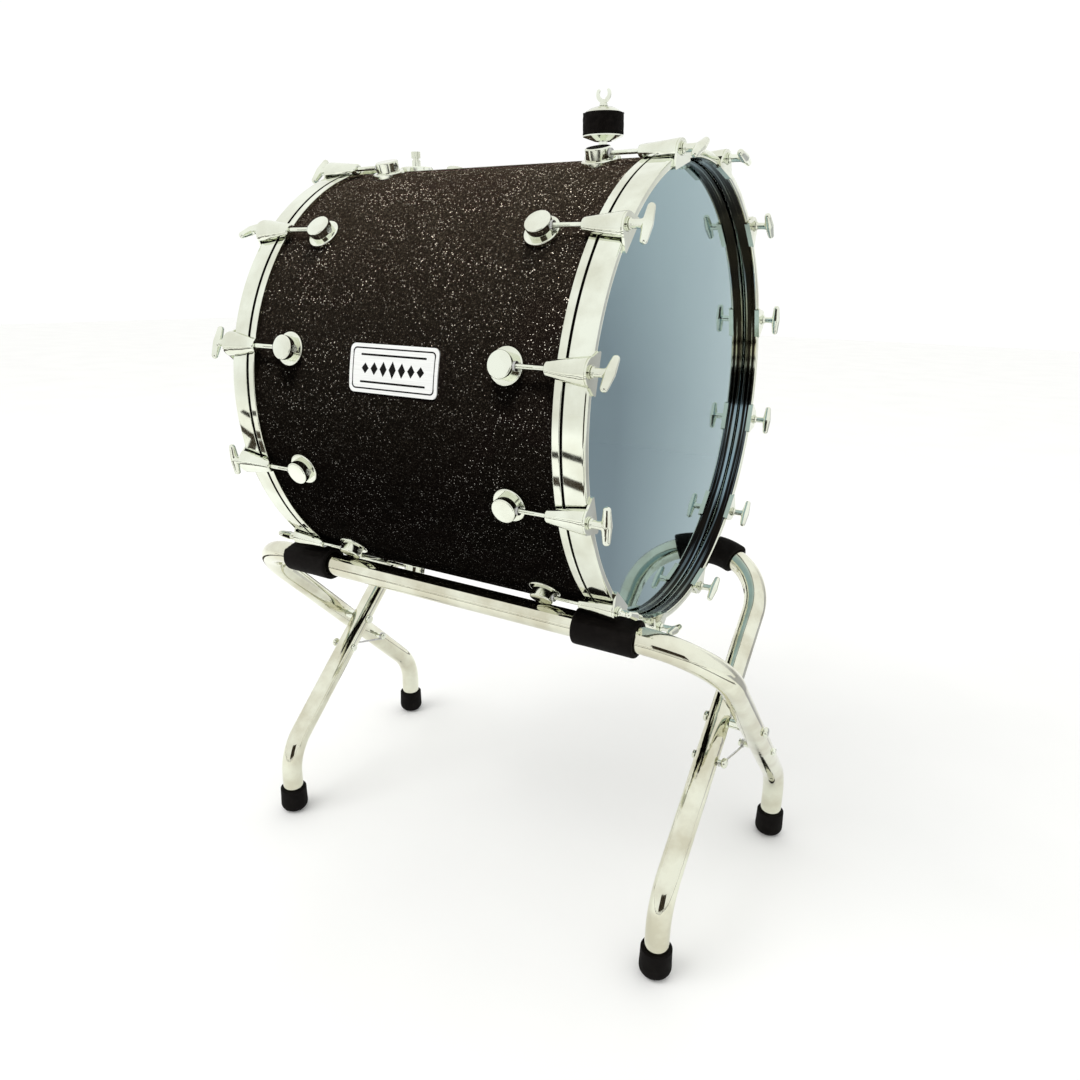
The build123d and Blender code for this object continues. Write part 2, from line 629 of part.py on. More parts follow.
with BuildPart() as cymbal_stem:
    with BuildSketch(STEM_PLANE) as stem_profile:
        with BuildLine():
            Polyline(
                (0, FITTING_BASE_TOP + SEAT_GAP),
                (STEM_RADIUS, FITTING_BASE_TOP + SEAT_GAP),
                (STEM_RADIUS, STEM_SHOULDER),
                (STEM_SCREW_RADIUS, STEM_SHOULDER),
                (STEM_SCREW_RADIUS, STEM_END - STEM_SCREW_RADIUS / 3),
                (STEM_SCREW_RADIUS * 2 / 3, STEM_END),
                (0, STEM_END),
                close=True,
            )
        make_face()
    revolve(axis=STEM_AXIS)
finish(cymbal_stem.part, "cymbal_stem")

with BuildPart() as cymbal_cup:
    with BuildSketch(STEM_PLANE):
        with BuildLine():
            Polyline(
                (BORE, CUP_NECK),
                (CUP_NECK_RADIUS, CUP_NECK),
                (CUP_RIM_RADIUS, CUP_RIM - CUP_WALL),
                (CUP_RIM_RADIUS, CUP_RIM),
                (CUP_RIM_RADIUS - CUP_WALL, CUP_RIM),
                (CUP_NECK_RADIUS, CUP_NECK + CUP_WALL),
                (BORE, CUP_NECK + CUP_WALL),
                close=True,
            )
        make_face()
    revolve(axis=STEM_AXIS)
finish(cymbal_cup.part, "cymbal_cup")

with BuildPart() as cymbal_felt:
    with BuildSketch(STEM_PLANE) as felt_profile:
        with BuildLine():
            Polyline(
                (BORE, FELT_BOTTOM),
                (FELT_RADIUS, FELT_BOTTOM),
                (FELT_RADIUS, FELT_TOP),
                (BORE, FELT_TOP),
                close=True,
            )
        make_face()
        felt_corners = [v for v in felt_profile.vertices() if v.X > STEM_STATION + FELT_RADIUS - 1]
        fillet(felt_corners, radius=FELT_ROUND)
    revolve(axis=STEM_AXIS)
finish(cymbal_felt.part, "cymbal_felt")

with BuildPart() as cymbal_top_washer:
    with BuildSketch(STEM_PLANE):
        with BuildLine():
            top = TOP_WASHER_BOTTOM + TOP_WASHER_RISE
            middle = (BORE + TOP_WASHER_RADIUS) / 2
            crown = TOP_WASHER_BOTTOM + TOP_WASHER_RISE * 0.72
            inner_rim = TOP_WASHER_RADIUS - TOP_WASHER_SHEET
            ThreePointArc((TOP_WASHER_RADIUS, TOP_WASHER_BOTTOM), (middle, crown), (BORE, top))
            Line((BORE, top), (BORE, top - TOP_WASHER_SHEET))
            ThreePointArc(
                (BORE, top - TOP_WASHER_SHEET),
                (middle - TOP_WASHER_SHEET / 2, crown - TOP_WASHER_SHEET),
                (inner_rim, TOP_WASHER_BOTTOM),
            )
            Line((inner_rim, TOP_WASHER_BOTTOM), (TOP_WASHER_RADIUS, TOP_WASHER_BOTTOM))
        make_face()
    revolve(axis=STEM_AXIS)
finish(cymbal_top_washer.part, "cymbal_top_washer")

with BuildPart() as cymbal_wing_nut:
    with BuildSketch(STEM_PLANE):
        with BuildLine():
            Polyline(
                (0, WING_BOTTOM),
                (WING_COLLAR_RADIUS, WING_BOTTOM),
                (WING_COLLAR_RADIUS, WING_BOTTOM + WING_COLLAR),
                (WING_HUB_RADIUS, WING_BOTTOM + WING_COLLAR + WING_COLLAR / 2),
                (WING_HUB_RADIUS, WING_BOTTOM + WING_HUB),
                (0, WING_BOTTOM + WING_HUB),
                close=True,
            )
        make_face()
    revolve(axis=STEM_AXIS)
    with BuildSketch(STEM_PLANE):
        with BuildLine():
            inner_tip = WING_TIP - WING_WIDTH
            belly_inside = WING_BELLY - WING_WIDTH
            Line((0, WING_FORK), (0, WING_ROOT_HEIGHT))
            Line((0, WING_ROOT_HEIGHT), (WING_ROOT, WING_ROOT_HEIGHT))
            ThreePointArc(
                (WING_ROOT, WING_ROOT_HEIGHT),
                (WING_BELLY, WING_BELLY_HEIGHT),
                (WING_TIP, WING_TIP_HEIGHT),
            )
            ThreePointArc(
                (WING_TIP, WING_TIP_HEIGHT),
                (WING_TIP - WING_WIDTH / 2, WING_TOP),
                (inner_tip, WING_TIP_HEIGHT),
            )
            ThreePointArc((inner_tip, WING_TIP_HEIGHT), (belly_inside, WING_BELLY_HEIGHT + 1), (0, WING_FORK))
        make_face()
        mirror(about=Plane.YZ)
    extrude(amount=WING_SHEET / 2, both=True)
    with BuildSketch(radial_plane(STEM_STATION, TOP_CLOCK, FELT_BOTTOM)):
        Circle(BORE)
    extrude(amount=BIG / 10, mode=Mode.SUBTRACT)
finish(cymbal_wing_nut.part, "cymbal_wing_nut")

# ================================================================ accessory post
with BuildPart() as accessory_post:
    with BuildSketch(POST_PLANE):
        with BuildLine():
            Polyline(
                (0, SHELL_RADIUS),
                (FITTING_BASE_RADIUS, SHELL_RADIUS),
                (FITTING_BASE_RADIUS, FITTING_BASE_TOP - LUG_BASE_EDGE),
                (FITTING_BASE_RADIUS - LUG_BASE_EDGE, FITTING_BASE_TOP),
                (POST_RADIUS, FITTING_BASE_TOP),
                (POST_RADIUS, POST_SHOULDER),
                (POST_NECK_RADIUS, POST_SHOULDER),
                (POST_NECK_RADIUS, POST_TOP),
                (0, POST_TOP),
                close=True,
            )
        make_face()
    revolve(axis=POST_AXIS)
    with BuildSketch(DISC_PLANE):
        Circle(WRAP_RADIUS + SEAT_GAP)
    extrude(amount=-BIG, mode=Mode.SUBTRACT)
    with BuildSketch(radial_plane(POST_STATION, TOP_CLOCK, SHELL_RADIUS)):
        Circle(LUG_SCREW_RADIUS + SEAT_GAP)
    extrude(amount=LUG_SCREW_TIP + SIDE_GAP - SHELL_RADIUS, mode=Mode.SUBTRACT)
finish(accessory_post.part, "accessory_post")

with BuildPart() as accessory_collar:
    with BuildSketch(radial_plane(POST_STATION, TOP_CLOCK, COLLAR_BOTTOM)):
        Circle(COLLAR_RADIUS)
        with PolarLocations(COLLAR_RADIUS, KNURLS):
            Circle(KNURL_DEPTH, mode=Mode.SUBTRACT)
        Circle(POST_NECK_RADIUS + COLLAR_FIT, mode=Mode.SUBTRACT)
    extrude(amount=COLLAR_TOP - COLLAR_BOTTOM)
finish(accessory_collar.part, "accessory_collar")


# ================================================================ stand frames
def frame_path(half_width, side):
    """Corner points of a U frame, foot to foot; side is +1 when its rail is on the badge side."""
    rail = -side * RAIL_OFFSET
    foot = side * FOOT_OFFSET
    return (
        (half_width, foot, TUBE_END),
        (half_width, foot, KNEE_HEIGHT),
        (half_width, rail, RAIL_HEIGHT),
        (-half_width, rail, RAIL_HEIGHT),
        (-half_width, foot, KNEE_HEIGHT),
        (-half_width, foot, TUBE_END),
    )


with BuildPart() as outer_frame:
    with BuildLine() as outer_line:
        FilletPolyline(*frame_path(OUTER_HALF_WIDTH, 1), radius=BEND_RADIUS)
    with BuildSketch(Plane(origin=outer_line.line @ 0, z_dir=outer_line.line % 0)):
        Circle(TUBE_RADIUS)
        Circle(TUBE_RADIUS - TUBE_WALL, mode=Mode.SUBTRACT)
    sweep(path=outer_line.line)
    with BuildSketch(along_x(0, 0, PIVOT_HEIGHT)):
        Circle(PIVOT_RADIUS + PIVOT_CLEARANCE)
    with BuildSketch(along_x(0, OUTER_STUD_OFFSET, OUTER_STUD_HEIGHT)):
        Circle(STUD_RADIUS + SEAT_GAP)
    extrude(amount=BIG, both=True, mode=Mode.SUBTRACT)
finish(outer_frame.part, "outer_frame")

with BuildPart() as inner_frame:
    with BuildLine() as inner_line:
        FilletPolyline(*frame_path(INNER_HALF_WIDTH, -1), radius=BEND_RADIUS)
    with BuildSketch(Plane(origin=inner_line.line @ 0, z_dir=inner_line.line % 0)):
        Circle(TUBE_RADIUS)
        Circle(TUBE_RADIUS - TUBE_WALL, mode=Mode.SUBTRACT)
    sweep(path=inner_line.line)
    with BuildSketch(along_x(0, 0, PIVOT_HEIGHT)):
        Circle(PIVOT_RADIUS + PIVOT_CLEARANCE)
    with BuildSketch(along_x(0, INNER_STUD_OFFSET, INNER_STUD_HEIGHT)):
        Circle(STUD_RADIUS + SEAT_GAP)
    extrude(amount=BIG, both=True, mode=Mode.SUBTRACT)
finish(inner_frame.part, "inner_frame")


# ================================================================ sleeves
def rail_plane(side):
    """The plane of a U frame with its origin on the rail; sketch y runs down the legs."""
    down = Vector(0, side * LEG_RUN, -LEG_FALL).normalized()
    normal = Vector(1, 0, 0).cross(down)
    return Plane(origin=(0, -side * RAIL_OFFSET, RAIL_HEIGHT), x_dir=(1, 0, 0), z_dir=normal)


ROD_TURN = radians(LUG_CLOCKS[7] + DRUM_ROLL)
ROD_SPOT = Vector(0, ROD_LINE * sin(ROD_TURN), AXIS_HEIGHT + ROD_LINE * cos(ROD_TURN))
RAIL_SPOT = Vector(0, -RAIL_OFFSET, RAIL_HEIGHT)
DENT_NORMAL = (ROD_SPOT - RAIL_SPOT).normalized()

with BuildPart() as sleeves_outer:
    with BuildSketch(along_x(SLEEVE_NEAR, -RAIL_OFFSET, RAIL_HEIGHT)):
        Circle(SLEEVE_RADIUS)
    extrude(amount=SLEEVE_FAR - SLEEVE_NEAR)
    end_edges = sleeves_outer.edges().filter_by(GeomType.CIRCLE)
    fillet(end_edges, radius=SLEEVE_EDGE)
    with BuildSketch(along_x(SLEEVE_NEAR, -RAIL_OFFSET, RAIL_HEIGHT)):
        Circle(SLEEVE_BORE)
    extrude(amount=BIG, mode=Mode.SUBTRACT)
    dent_origin = RAIL_SPOT + DENT_NORMAL * DENT_DEPTH_LINE
    with BuildSketch(Plane(origin=dent_origin, x_dir=(1, 0, 0), z_dir=DENT_NORMAL)):
        with Locations((DENT_START, 0)):
            Rectangle(BIG, BIG, align=(Align.MIN, Align.CENTER))
    extrude(amount=SLEEVE_RADIUS, mode=Mode.SUBTRACT)
    mirror(about=MID_PLANE)
finish(sleeves_outer.part, "sleeves_outer")

with BuildPart() as sleeves_inner:
    bend_start = INNER_HALF_WIDTH - BEND_RADIUS
    bend_turn = degrees(asin((SLEEVE_FAR - bend_start) / BEND_RADIUS))
    with BuildLine(rail_plane(-1)) as sleeve_line:
        Line((SLEEVE_NEAR, 0), (bend_start, 0))
        CenterArc((bend_start, BEND_RADIUS), BEND_RADIUS, -90, bend_turn)
    with BuildSketch(Plane(origin=sleeve_line.line @ 0, z_dir=sleeve_line.line % 0)):
        Circle(SLEEVE_RADIUS)
        Circle(SLEEVE_BORE, mode=Mode.SUBTRACT)
    sweep(path=sleeve_line.line)
    rim_edges = [e for e in sleeves_inner.edges().filter_by(GeomType.CIRCLE) if e.length > BIG / 5]
    fillet(rim_edges, radius=SLEEVE_EDGE)
    mirror(about=MID_PLANE)
finish(sleeves_inner.part, "sleeves_inner")

# ================================================================ rubber feet
with BuildPart() as foot_pattern:
    with BuildSketch(Plane.XZ) as foot_profile:
        with BuildLine():
            Polyline(
                (0, 0),
                (FOOT_RADIUS, 0),
                (FOOT_MOUTH_RADIUS, FOOT_HEIGHT),
                (FOOT_BORE, FOOT_HEIGHT),
                (FOOT_BORE, FOOT_FLOOR),
                (0, FOOT_FLOOR),
                close=True,
            )
        make_face()
        fillet(foot_profile.vertices().sort_by(Axis.X)[-1], radius=FOOT_ROUND)
        mouth = [v for v in foot_profile.vertices() if abs(v.X - FOOT_MOUTH_RADIUS) < SEAT_GAP]
        fillet(mouth, radius=FOOT_MOUTH_ROUND)
    revolve(axis=Axis.Z)

with BuildPart() as feet_outer:
    with Locations((OUTER_HALF_WIDTH, FOOT_OFFSET, 0), (-OUTER_HALF_WIDTH, FOOT_OFFSET, 0)):
        add(foot_pattern.part)
finish(feet_outer.part, "feet_outer")

with BuildPart() as feet_inner:
    with Locations((INNER_HALF_WIDTH, -FOOT_OFFSET, 0), (-INNER_HALF_WIDTH, -FOOT_OFFSET, 0)):
        add(foot_pattern.part)
finish(feet_inner.part, "feet_inner")


# ================================================================ pivots and studs
OUTER_FACE = OUTER_HALF_WIDTH + TUBE_RADIUS
OUTER_INSIDE = OUTER_HALF_WIDTH - TUBE_RADIUS
INNER_FACE = INNER_HALF_WIDTH + TUBE_RADIUS
INNER_INSIDE = INNER_HALF_WIDTH - TUBE_RADIUS
HEAD_START = OUTER_FACE + SIDE_GAP
PIVOT_TIP = INNER_INSIDE - CAP_NUT
STUD_NUT_END = STRUT_STATION - STRUT_WIRE - SIDE_GAP
STUD_TIP = STUD_NUT_END - CAP_NUT / 2
SHOULDER_START = STRUT_STATION + STRUT_WIRE + SIDE_GAP
SHOULDER_END = OUTER_INSIDE - SEAT_GAP
STUD_HEAD_START = OUTER_FACE + SEAT_GAP
RIVET_END = INNER_INSIDE - SEAT_GAP

with BuildPart() as pivot_bolts:
    with BuildSketch(along_x(PIVOT_TIP, 0, PIVOT_HEIGHT)):
        Circle(PIVOT_RADIUS)
    extrude(amount=HEAD_START - PIVOT_TIP)
    with BuildSketch(along_x(HEAD_START, 0, PIVOT_HEIGHT)):
        Circle(PIVOT_HEAD_RADIUS)
    extrude(amount=PIVOT_HEAD)
    fillet(pivot_bolts.faces().sort_by(Axis.X)[-1].edges(), radius=PIVOT_HEAD * 2 / 3)
    mirror(about=MID_PLANE)
finish(pivot_bolts.part, "pivot_bolts")

with BuildPart() as pivot_spacers:
    with BuildSketch(along_x(INNER_FACE + SIDE_GAP, 0, PIVOT_HEIGHT)):
        Circle(SPACER_RADIUS)
        Circle(PIVOT_RADIUS + SEAT_GAP, mode=Mode.SUBTRACT)
    extrude(amount=OUTER_INSIDE - INNER_FACE - SIDE_GAP - SEAT_GAP)
    mirror(about=MID_PLANE)
finish(pivot_spacers.part, "pivot_spacers")

with BuildPart() as stand_cap_nuts:
    with BuildSketch(along_x(INNER_INSIDE - SIDE_GAP, 0, PIVOT_HEIGHT)):
        Circle(PIVOT_HEAD_RADIUS)
    extrude(amount=-CAP_NUT)
    fillet(stand_cap_nuts.faces().sort_by(Axis.X)[0].edges(), radius=CAP_NUT * 2 / 3)
    with BuildSketch(along_x(PIVOT_TIP - SEAT_GAP, 0, PIVOT_HEIGHT)):
        Circle(PIVOT_RADIUS + SEAT_GAP)
    extrude(amount=CAP_NUT * 2, mode=Mode.SUBTRACT)
    with BuildPart(mode=Mode.PRIVATE) as stud_nut:
        with BuildSketch(along_x(STUD_NUT_END, OUTER_STUD_OFFSET, OUTER_STUD_HEIGHT)):
            Circle(CAP_NUT_RADIUS)
        extrude(amount=-CAP_NUT)
        fillet(stud_nut.faces().sort_by(Axis.X)[0].edges(), radius=CAP_NUT * 2 / 3)
        with BuildSketch(along_x(STUD_TIP - SEAT_GAP, OUTER_STUD_OFFSET, OUTER_STUD_HEIGHT)):
            Circle(STUD_RADIUS + SEAT_GAP)
        extrude(amount=CAP_NUT * 2, mode=Mode.SUBTRACT)
    add(stud_nut.part)
    mirror(about=MID_PLANE)
finish(stand_cap_nuts.part, "stand_cap_nuts")

with BuildPart() as strut_studs_outer:
    with BuildSketch(along_x(STUD_TIP, OUTER_STUD_OFFSET, OUTER_STUD_HEIGHT)):
        Circle(STUD_RADIUS)
    extrude(amount=STUD_HEAD_START - STUD_TIP)
    with BuildSketch(along_x(STUD_HEAD_START, OUTER_STUD_OFFSET, OUTER_STUD_HEIGHT)):
        Circle(STUD_HEAD_RADIUS)
    extrude(amount=STUD_HEAD)
    fillet(strut_studs_outer.faces().sort_by(Axis.X)[-1].edges(), radius=STUD_HEAD * 2 / 3)
    with BuildSketch(along_x(SHOULDER_START, OUTER_STUD_OFFSET, OUTER_STUD_HEIGHT)):
        Circle(STUD_SHOULDER_RADIUS)
    extrude(amount=SHOULDER_END - SHOULDER_START)
    mirror(about=MID_PLANE)
finish(strut_studs_outer.part, "strut_studs_outer")

with BuildPart() as strut_studs_inner:
    with BuildSketch(along_x(RIVET_END, INNER_STUD_OFFSET, INNER_STUD_HEIGHT)):
        Circle(STUD_HEAD_RADIUS)
    extrude(amount=-STUD_HEAD)
    fillet(strut_studs_inner.faces().sort_by(Axis.X)[0].edges(), radius=STUD_HEAD * 2 / 3)
    with BuildSketch(along_x(SHOULDER_START, INNER_STUD_OFFSET, INNER_STUD_HEIGHT)):
        Circle(BALL_RADIUS)
    extrude(amount=BALL_LENGTH)
    ball_rims = [e for e in strut_studs_inner.edges() if e.center().X > SHOULDER_START - SEAT_GAP]
    ball_rims = [e for e in ball_rims if e.geom_type == GeomType.CIRCLE]
    fillet(ball_rims, radius=BALL_LENGTH / 2 - SEAT_GAP)
    with BuildSketch(along_x(RIVET_END, INNER_STUD_OFFSET, INNER_STUD_HEIGHT)):
        Circle(STUD_RADIUS)
    extrude(amount=SHOULDER_START + BALL_LENGTH / 2 - RIVET_END)
    mirror(about=MID_PLANE)
finish(strut_studs_inner.part, "strut_studs_inner")

# ================================================================ hook struts
with BuildPart() as strut_right:
    eye_spot = Vector(STRUT_STATION, OUTER_STUD_OFFSET, OUTER_STUD_HEIGHT)
    hook_spot = Vector(STRUT_STATION, INNER_STUD_OFFSET, INNER_STUD_HEIGHT)
    below = (hook_spot - eye_spot).normalized().rotate(Axis.X, 90) * STRUT_HOOK_RADIUS
    half_way = hook_spot + below.rotate(Axis.X, -STRUT_WRAP / 2)
    hook_tip = hook_spot + below.rotate(Axis.X, -STRUT_WRAP)
    with BuildLine() as strut_line:
        Line(eye_spot + below, hook_spot + below)
        ThreePointArc(hook_spot + below, half_way, hook_tip)
    with BuildSketch(Plane(origin=strut_line.line @ 0, z_dir=strut_line.line % 0)):
        Circle(STRUT_WIRE)
    sweep(path=strut_line.line)
    with BuildSketch(along_x(STRUT_STATION, OUTER_STUD_OFFSET, OUTER_STUD_HEIGHT)):
        Circle(STRUT_EYE_RADIUS)
    extrude(amount=STRUT_EYE_HALF, both=True)
    with BuildSketch(along_x(STRUT_STATION, OUTER_STUD_OFFSET, OUTER_STUD_HEIGHT)):
        Circle(STRUT_EYE_BORE)
    extrude(amount=STRUT_WIRE * 2, both=True, mode=Mode.SUBTRACT)
finish(strut_right.part, "strut_right")

with BuildPart() as strut_left:
    mirror(strut_right.part, about=MID_PLANE)
finish(strut_left.part, "strut_left")
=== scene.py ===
"""Looks of the bass drum on its folding stand. Metres, in the same frame as the CAD model."""

from math import cos, hypot, pi, radians, sin, tan

import bmesh
import bpy
from mathutils import Matrix, Vector, noise


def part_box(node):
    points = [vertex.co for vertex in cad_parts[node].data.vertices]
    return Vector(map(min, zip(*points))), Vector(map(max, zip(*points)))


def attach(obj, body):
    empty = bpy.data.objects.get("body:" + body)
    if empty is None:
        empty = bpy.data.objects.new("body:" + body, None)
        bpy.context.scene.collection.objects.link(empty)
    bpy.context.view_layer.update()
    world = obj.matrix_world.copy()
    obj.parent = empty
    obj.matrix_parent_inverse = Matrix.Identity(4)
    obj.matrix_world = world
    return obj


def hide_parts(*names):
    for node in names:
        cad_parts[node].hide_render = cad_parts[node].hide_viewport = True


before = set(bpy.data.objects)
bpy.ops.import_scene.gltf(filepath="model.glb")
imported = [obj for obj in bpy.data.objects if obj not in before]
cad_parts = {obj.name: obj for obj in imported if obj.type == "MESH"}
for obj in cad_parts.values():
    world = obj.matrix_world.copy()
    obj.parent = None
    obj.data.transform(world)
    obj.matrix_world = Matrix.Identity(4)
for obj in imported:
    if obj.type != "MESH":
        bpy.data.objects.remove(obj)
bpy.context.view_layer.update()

# ---------------------------------------------------------------- sizes
MM = 0.001
HOOP_LOW, HOOP_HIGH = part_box("hoop_front")
AXIS_HEIGHT = (HOOP_LOW.z + HOOP_HIGH.z) / 2
HOOP_RADIUS = (HOOP_HIGH.z - HOOP_LOW.z) / 2
HOOP_FACE = HOOP_HIGH.x
WRAP_LOW, WRAP_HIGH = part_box("wrap")
WRAP_RADIUS = (WRAP_HIGH.z - WRAP_LOW.z) / 2
WRAP_HALF = WRAP_HIGH.x
DRUM_ROLL = radians(-3.3)
LUG_CLOCKS = (15, 45, 75, 105, 135, 165, -165, -135, -105, -75, -45, -15)
ROD_LINE = 289.8 * MM

# ---------------------------------------------------------------- mesh helpers
RING = 256


def rounded(corners, steps=6):
    """A closed outline from (x, y, radius) corners, each rounded with an arc of its radius."""
    outline = []
    for i, (x, y, radius) in enumerate(corners):
        here = Vector((x, y))
        before = Vector(corners[i - 1][:2]) - here
        after = Vector(corners[(i + 1) % len(corners)][:2]) - here
        if radius <= 0:
            outline.append(here)
            continue
        half = before.angle(after) / 2
        reach = min(radius / tan(half), 0.49 * min(before.length, after.length))
        centre = here + (before.normalized() + after.normalized()).normalized() * reach / cos(half)
        start = here + before.normalized() * reach - centre
        end = here + after.normalized() * reach - centre
        for k in range(steps + 1):
            outline.append(centre + start.lerp(end, k / steps).normalized() * start.length)
    return [tuple(point) for point in outline]


def lathe(outline, segments=96, closed=True):
    """Vertices and faces of a (radius, height) outline turned about Z. Radius 0 makes a pole."""
    verts, rings, faces = [], [], []
    for radius, height in outline:
        count = 1 if radius < 1e-7 else segments
        rings.append(range(len(verts), len(verts) + count))
        verts += [
            Vector((radius * cos(2 * pi * i / segments), radius * sin(2 * pi * i / segments), height))
            for i in range(count)
        ]
    following = rings[1:] + rings[:1] if closed else rings[1:]
    for a, b in zip(rings, following):
        for i in range(segments):
            j = (i + 1) % segments
            corners = (a[i % len(a)], a[j % len(a)], b[j % len(b)], b[i % len(b)])
            face = list(dict.fromkeys(corners))
            if len(face) > 2:
                faces.append(face)
    return verts, faces


def moved(shape, matrix):
    """The shape's vertices moved by a matrix."""
    return [matrix @ v for v in shape[0]], shape[1]


def joined(shapes):
    """Several shapes as one."""
    verts, faces = [], []
    for part_verts, part_faces in shapes:
        start = len(verts)
        verts += part_verts
        faces += [[start + i for i in face] for face in part_faces]
    return verts, faces


def mesh_of(name, shape):
    """A mesh with its normals facing out."""
    mesh = bpy.data.meshes.new(name)
    mesh.from_pydata(shape[0], [], shape[1])
    edit = bmesh.new()
    edit.from_mesh(mesh)
    bmesh.ops.recalc_face_normals(edit, faces=edit.faces)
    edit.to_mesh(mesh)
    edit.free()
    return mesh


def piece(name, mesh, material, body, nodes=(), sharp=30, others=(), chosen=None):
    """A smooth-shaded piece that rides on a body and replaces CAD nodes.

    With other materials, chosen(centre) gives the number of each face's material.
    """
    mesh.shade_smooth()
    mesh.set_sharp_from_angle(angle=radians(sharp))
    mesh.materials.clear()
    mesh.materials.append(material)
    for other in others:
        mesh.materials.append(other)
    if others:
        for face in mesh.polygons:
            face.material_index = chosen(face.center)
    obj = bpy.data.objects.new(name, mesh)
    bpy.context.scene.collection.objects.link(obj)
    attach(obj, body)
    if nodes:
        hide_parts(*nodes)
    return obj


def melted(name, mesh, voxel, rounds, grain=0.0, grain_size=1.0):
    """The mesh rebuilt as one skin, its corners softened, with a little unevenness."""
    obj = bpy.data.objects.new(name, mesh)
    bpy.context.scene.collection.objects.link(obj)
    skin = obj.modifiers.new("skin", "REMESH")
    skin.mode = "VOXEL"
    skin.voxel_size = voxel
    soften = obj.modifiers.new("soften", "SMOOTH")
    soften.iterations = rounds
    graph = bpy.context.evaluated_depsgraph_get()
    result = bpy.data.meshes.new_from_object(obj.evaluated_get(graph))
    bpy.data.objects.remove(obj)
    if grain:
        for vertex in result.vertices:
            lump = noise.noise(vertex.co / grain_size)
            vertex.co += vertex.normal * grain * (lump - 1) / 2
    return result


def finish_node(name, material, sharp=30):
    """A CAD node that keeps its shape gets smooth shading and a real material."""
    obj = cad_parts[name]
    obj.data.shade_smooth()
    obj.data.set_sharp_from_angle(angle=radians(sharp))
    obj.data.materials.clear()
    obj.data.materials.append(material)


# ---------------------------------------------------------------- places on the drum
ALONG_X = Matrix.Rotation(pi / 2, 4, "Y")


def on_drum(clock=0.0, side=1):
    """Local z points out of the drum and local x along it, towards that side's head."""
    turned = Matrix.Rotation(-radians(clock) - DRUM_ROLL, 4, "X")
    return Matrix.Translation((0, 0, AXIS_HEIGHT)) @ turned @ Matrix.Diagonal((side, 1, 1, 1))


LUG_PLACES = [(side, number, clock) for side in (1, -1) for number, clock in enumerate(LUG_CLOCKS, 1)]

# ---------------------------------------------------------------- materials


class Nodes:
    """A short way to write one material's node tree."""

    def __init__(self, name):
        self.material = bpy.data.materials.new(name)
        self.material.use_nodes = True
        self.tree = self.material.node_tree
        self.shader = self.tree.nodes["Principled BSDF"]
        self.place = self.add("ShaderNodeTexCoord").outputs["Object"]

    def add(self, kind, links=(), **settings):
        node = self.tree.nodes.new(kind)
        for key, value in settings.items():
            setattr(node, key, value)
        for socket, source in dict(links).items():
            if hasattr(source, "links"):
                self.tree.links.new(source, node.inputs[socket])
            else:
                node.inputs[socket].default_value = source
        return node

    def set(self, **values):
        for key, value in values.items():
            socket = self.shader.inputs[key.replace("_", " ")]
            if hasattr(value, "links"):
                self.tree.links.new(value, socket)
            else:
                socket.default_value = value

    def noise(self, scale, detail=3.0, roughness=0.5, stretch=None):
        place = self.place
        if stretch:
            place = self.add("ShaderNodeMapping", {"Vector": place, "Scale": stretch}).outputs[0]
        links = {"Vector": place, "Scale": scale, "Detail": detail, "Roughness": roughness}
        return self.add("ShaderNodeTexNoise", links).outputs["Fac"]

    def cells(self, scale):
        return self.add("ShaderNodeTexVoronoi", {"Vector": self.place, "Scale": scale})

    def ramp(self, factor, *stops, interpolation="LINEAR"):
        node = self.add("ShaderNodeValToRGB", {"Fac": factor})
        node.color_ramp.interpolation = interpolation
        elements = node.color_ramp.elements
        while len(elements) < len(stops):
            elements.new(0.5)
        for element, (position, colour) in zip(elements, stops):
            element.position = position
            element.color = grey(colour)
        return node.outputs["Color"]

    def mix(self, factor, a, b, blend="MIX"):
        node = self.add("ShaderNodeMix", data_type="RGBA", blend_type=blend)
        for index, source in ((0, factor), (6, a), (7, b)):
            if hasattr(source, "links"):
                self.tree.links.new(source, node.inputs[index])
            else:
                node.inputs[index].default_value = source
        return node.outputs[2]

    def maths(self, operation, a, b=0.0):
        return self.add("ShaderNodeMath", {0: a, 1: b}, operation=operation).outputs[0]

    def scaled(self, factor, low, high):
        links = {"Value": factor, "To Min": low, "To Max": high}
        return self.add("ShaderNodeMapRange", links).outputs["Result"]

    def bump(self, height, depth, strength=1.0):
        links = {"Height": height, "Distance": depth, "Strength": strength}
        self.set(Normal=self.add("ShaderNodeBump", links).outputs["Normal"])


def grey(colour):
    """A number stands for that grey."""
    if isinstance(colour, (int, float)):
        return (colour, colour, colour, 1)
    return (*colour[:3], 1)


def chrome(name, colour, shade, smudge=0.045, ripple=0.02):
    """Polished plate: faint smudges in its gloss, a little tarnish and a slight ripple."""
    n = Nodes(name)
    tarnish = n.noise(22, 5)
    n.set(Metallic=1.0)
    n.set(Base_Color=n.ramp(tarnish, (0.35, shade), (0.62, colour)))
    n.set(Roughness=n.scaled(n.noise(60, 6, 0.62), 0.035, 0.035 + 2 * smudge))
    n.bump(n.noise(35, 1), ripple * MM)
    return n.material


def painted_reflection_chrome(name):
    """Plate inside the hoop's mouth with painted reflection: dark bands paint the head mirrored in it,
    bright bands paint highlight streaks, all running round the drum.
    """
    n = Nodes(name)
    reflection_bands = n.noise(1, 2, 0.6, stretch=(190, 2.6, 2.6))
    patches = n.noise(5, 3)
    # painted reflection: near-black where the dark head is mirrored, bright where painted highlight streaks
    # fall
    low = n.ramp(patches, (0.35, (0.012, 0.009, 0.008)), (0.7, (0.05, 0.036, 0.02)))
    high = n.ramp(patches, (0.42, (0.55, 0.62, 0.68)), (0.58, (0.88, 0.74, 0.46)))
    n.set(Metallic=1.0, Base_Color=n.mix(n.ramp(reflection_bands, (0.50, 0.0), (0.60, 1.0)), low, high))
    n.set(Roughness=n.scaled(n.noise(60, 5), 0.05, 0.14))
    n.bump(n.noise(30, 1), 0.03 * MM)
    return n.material


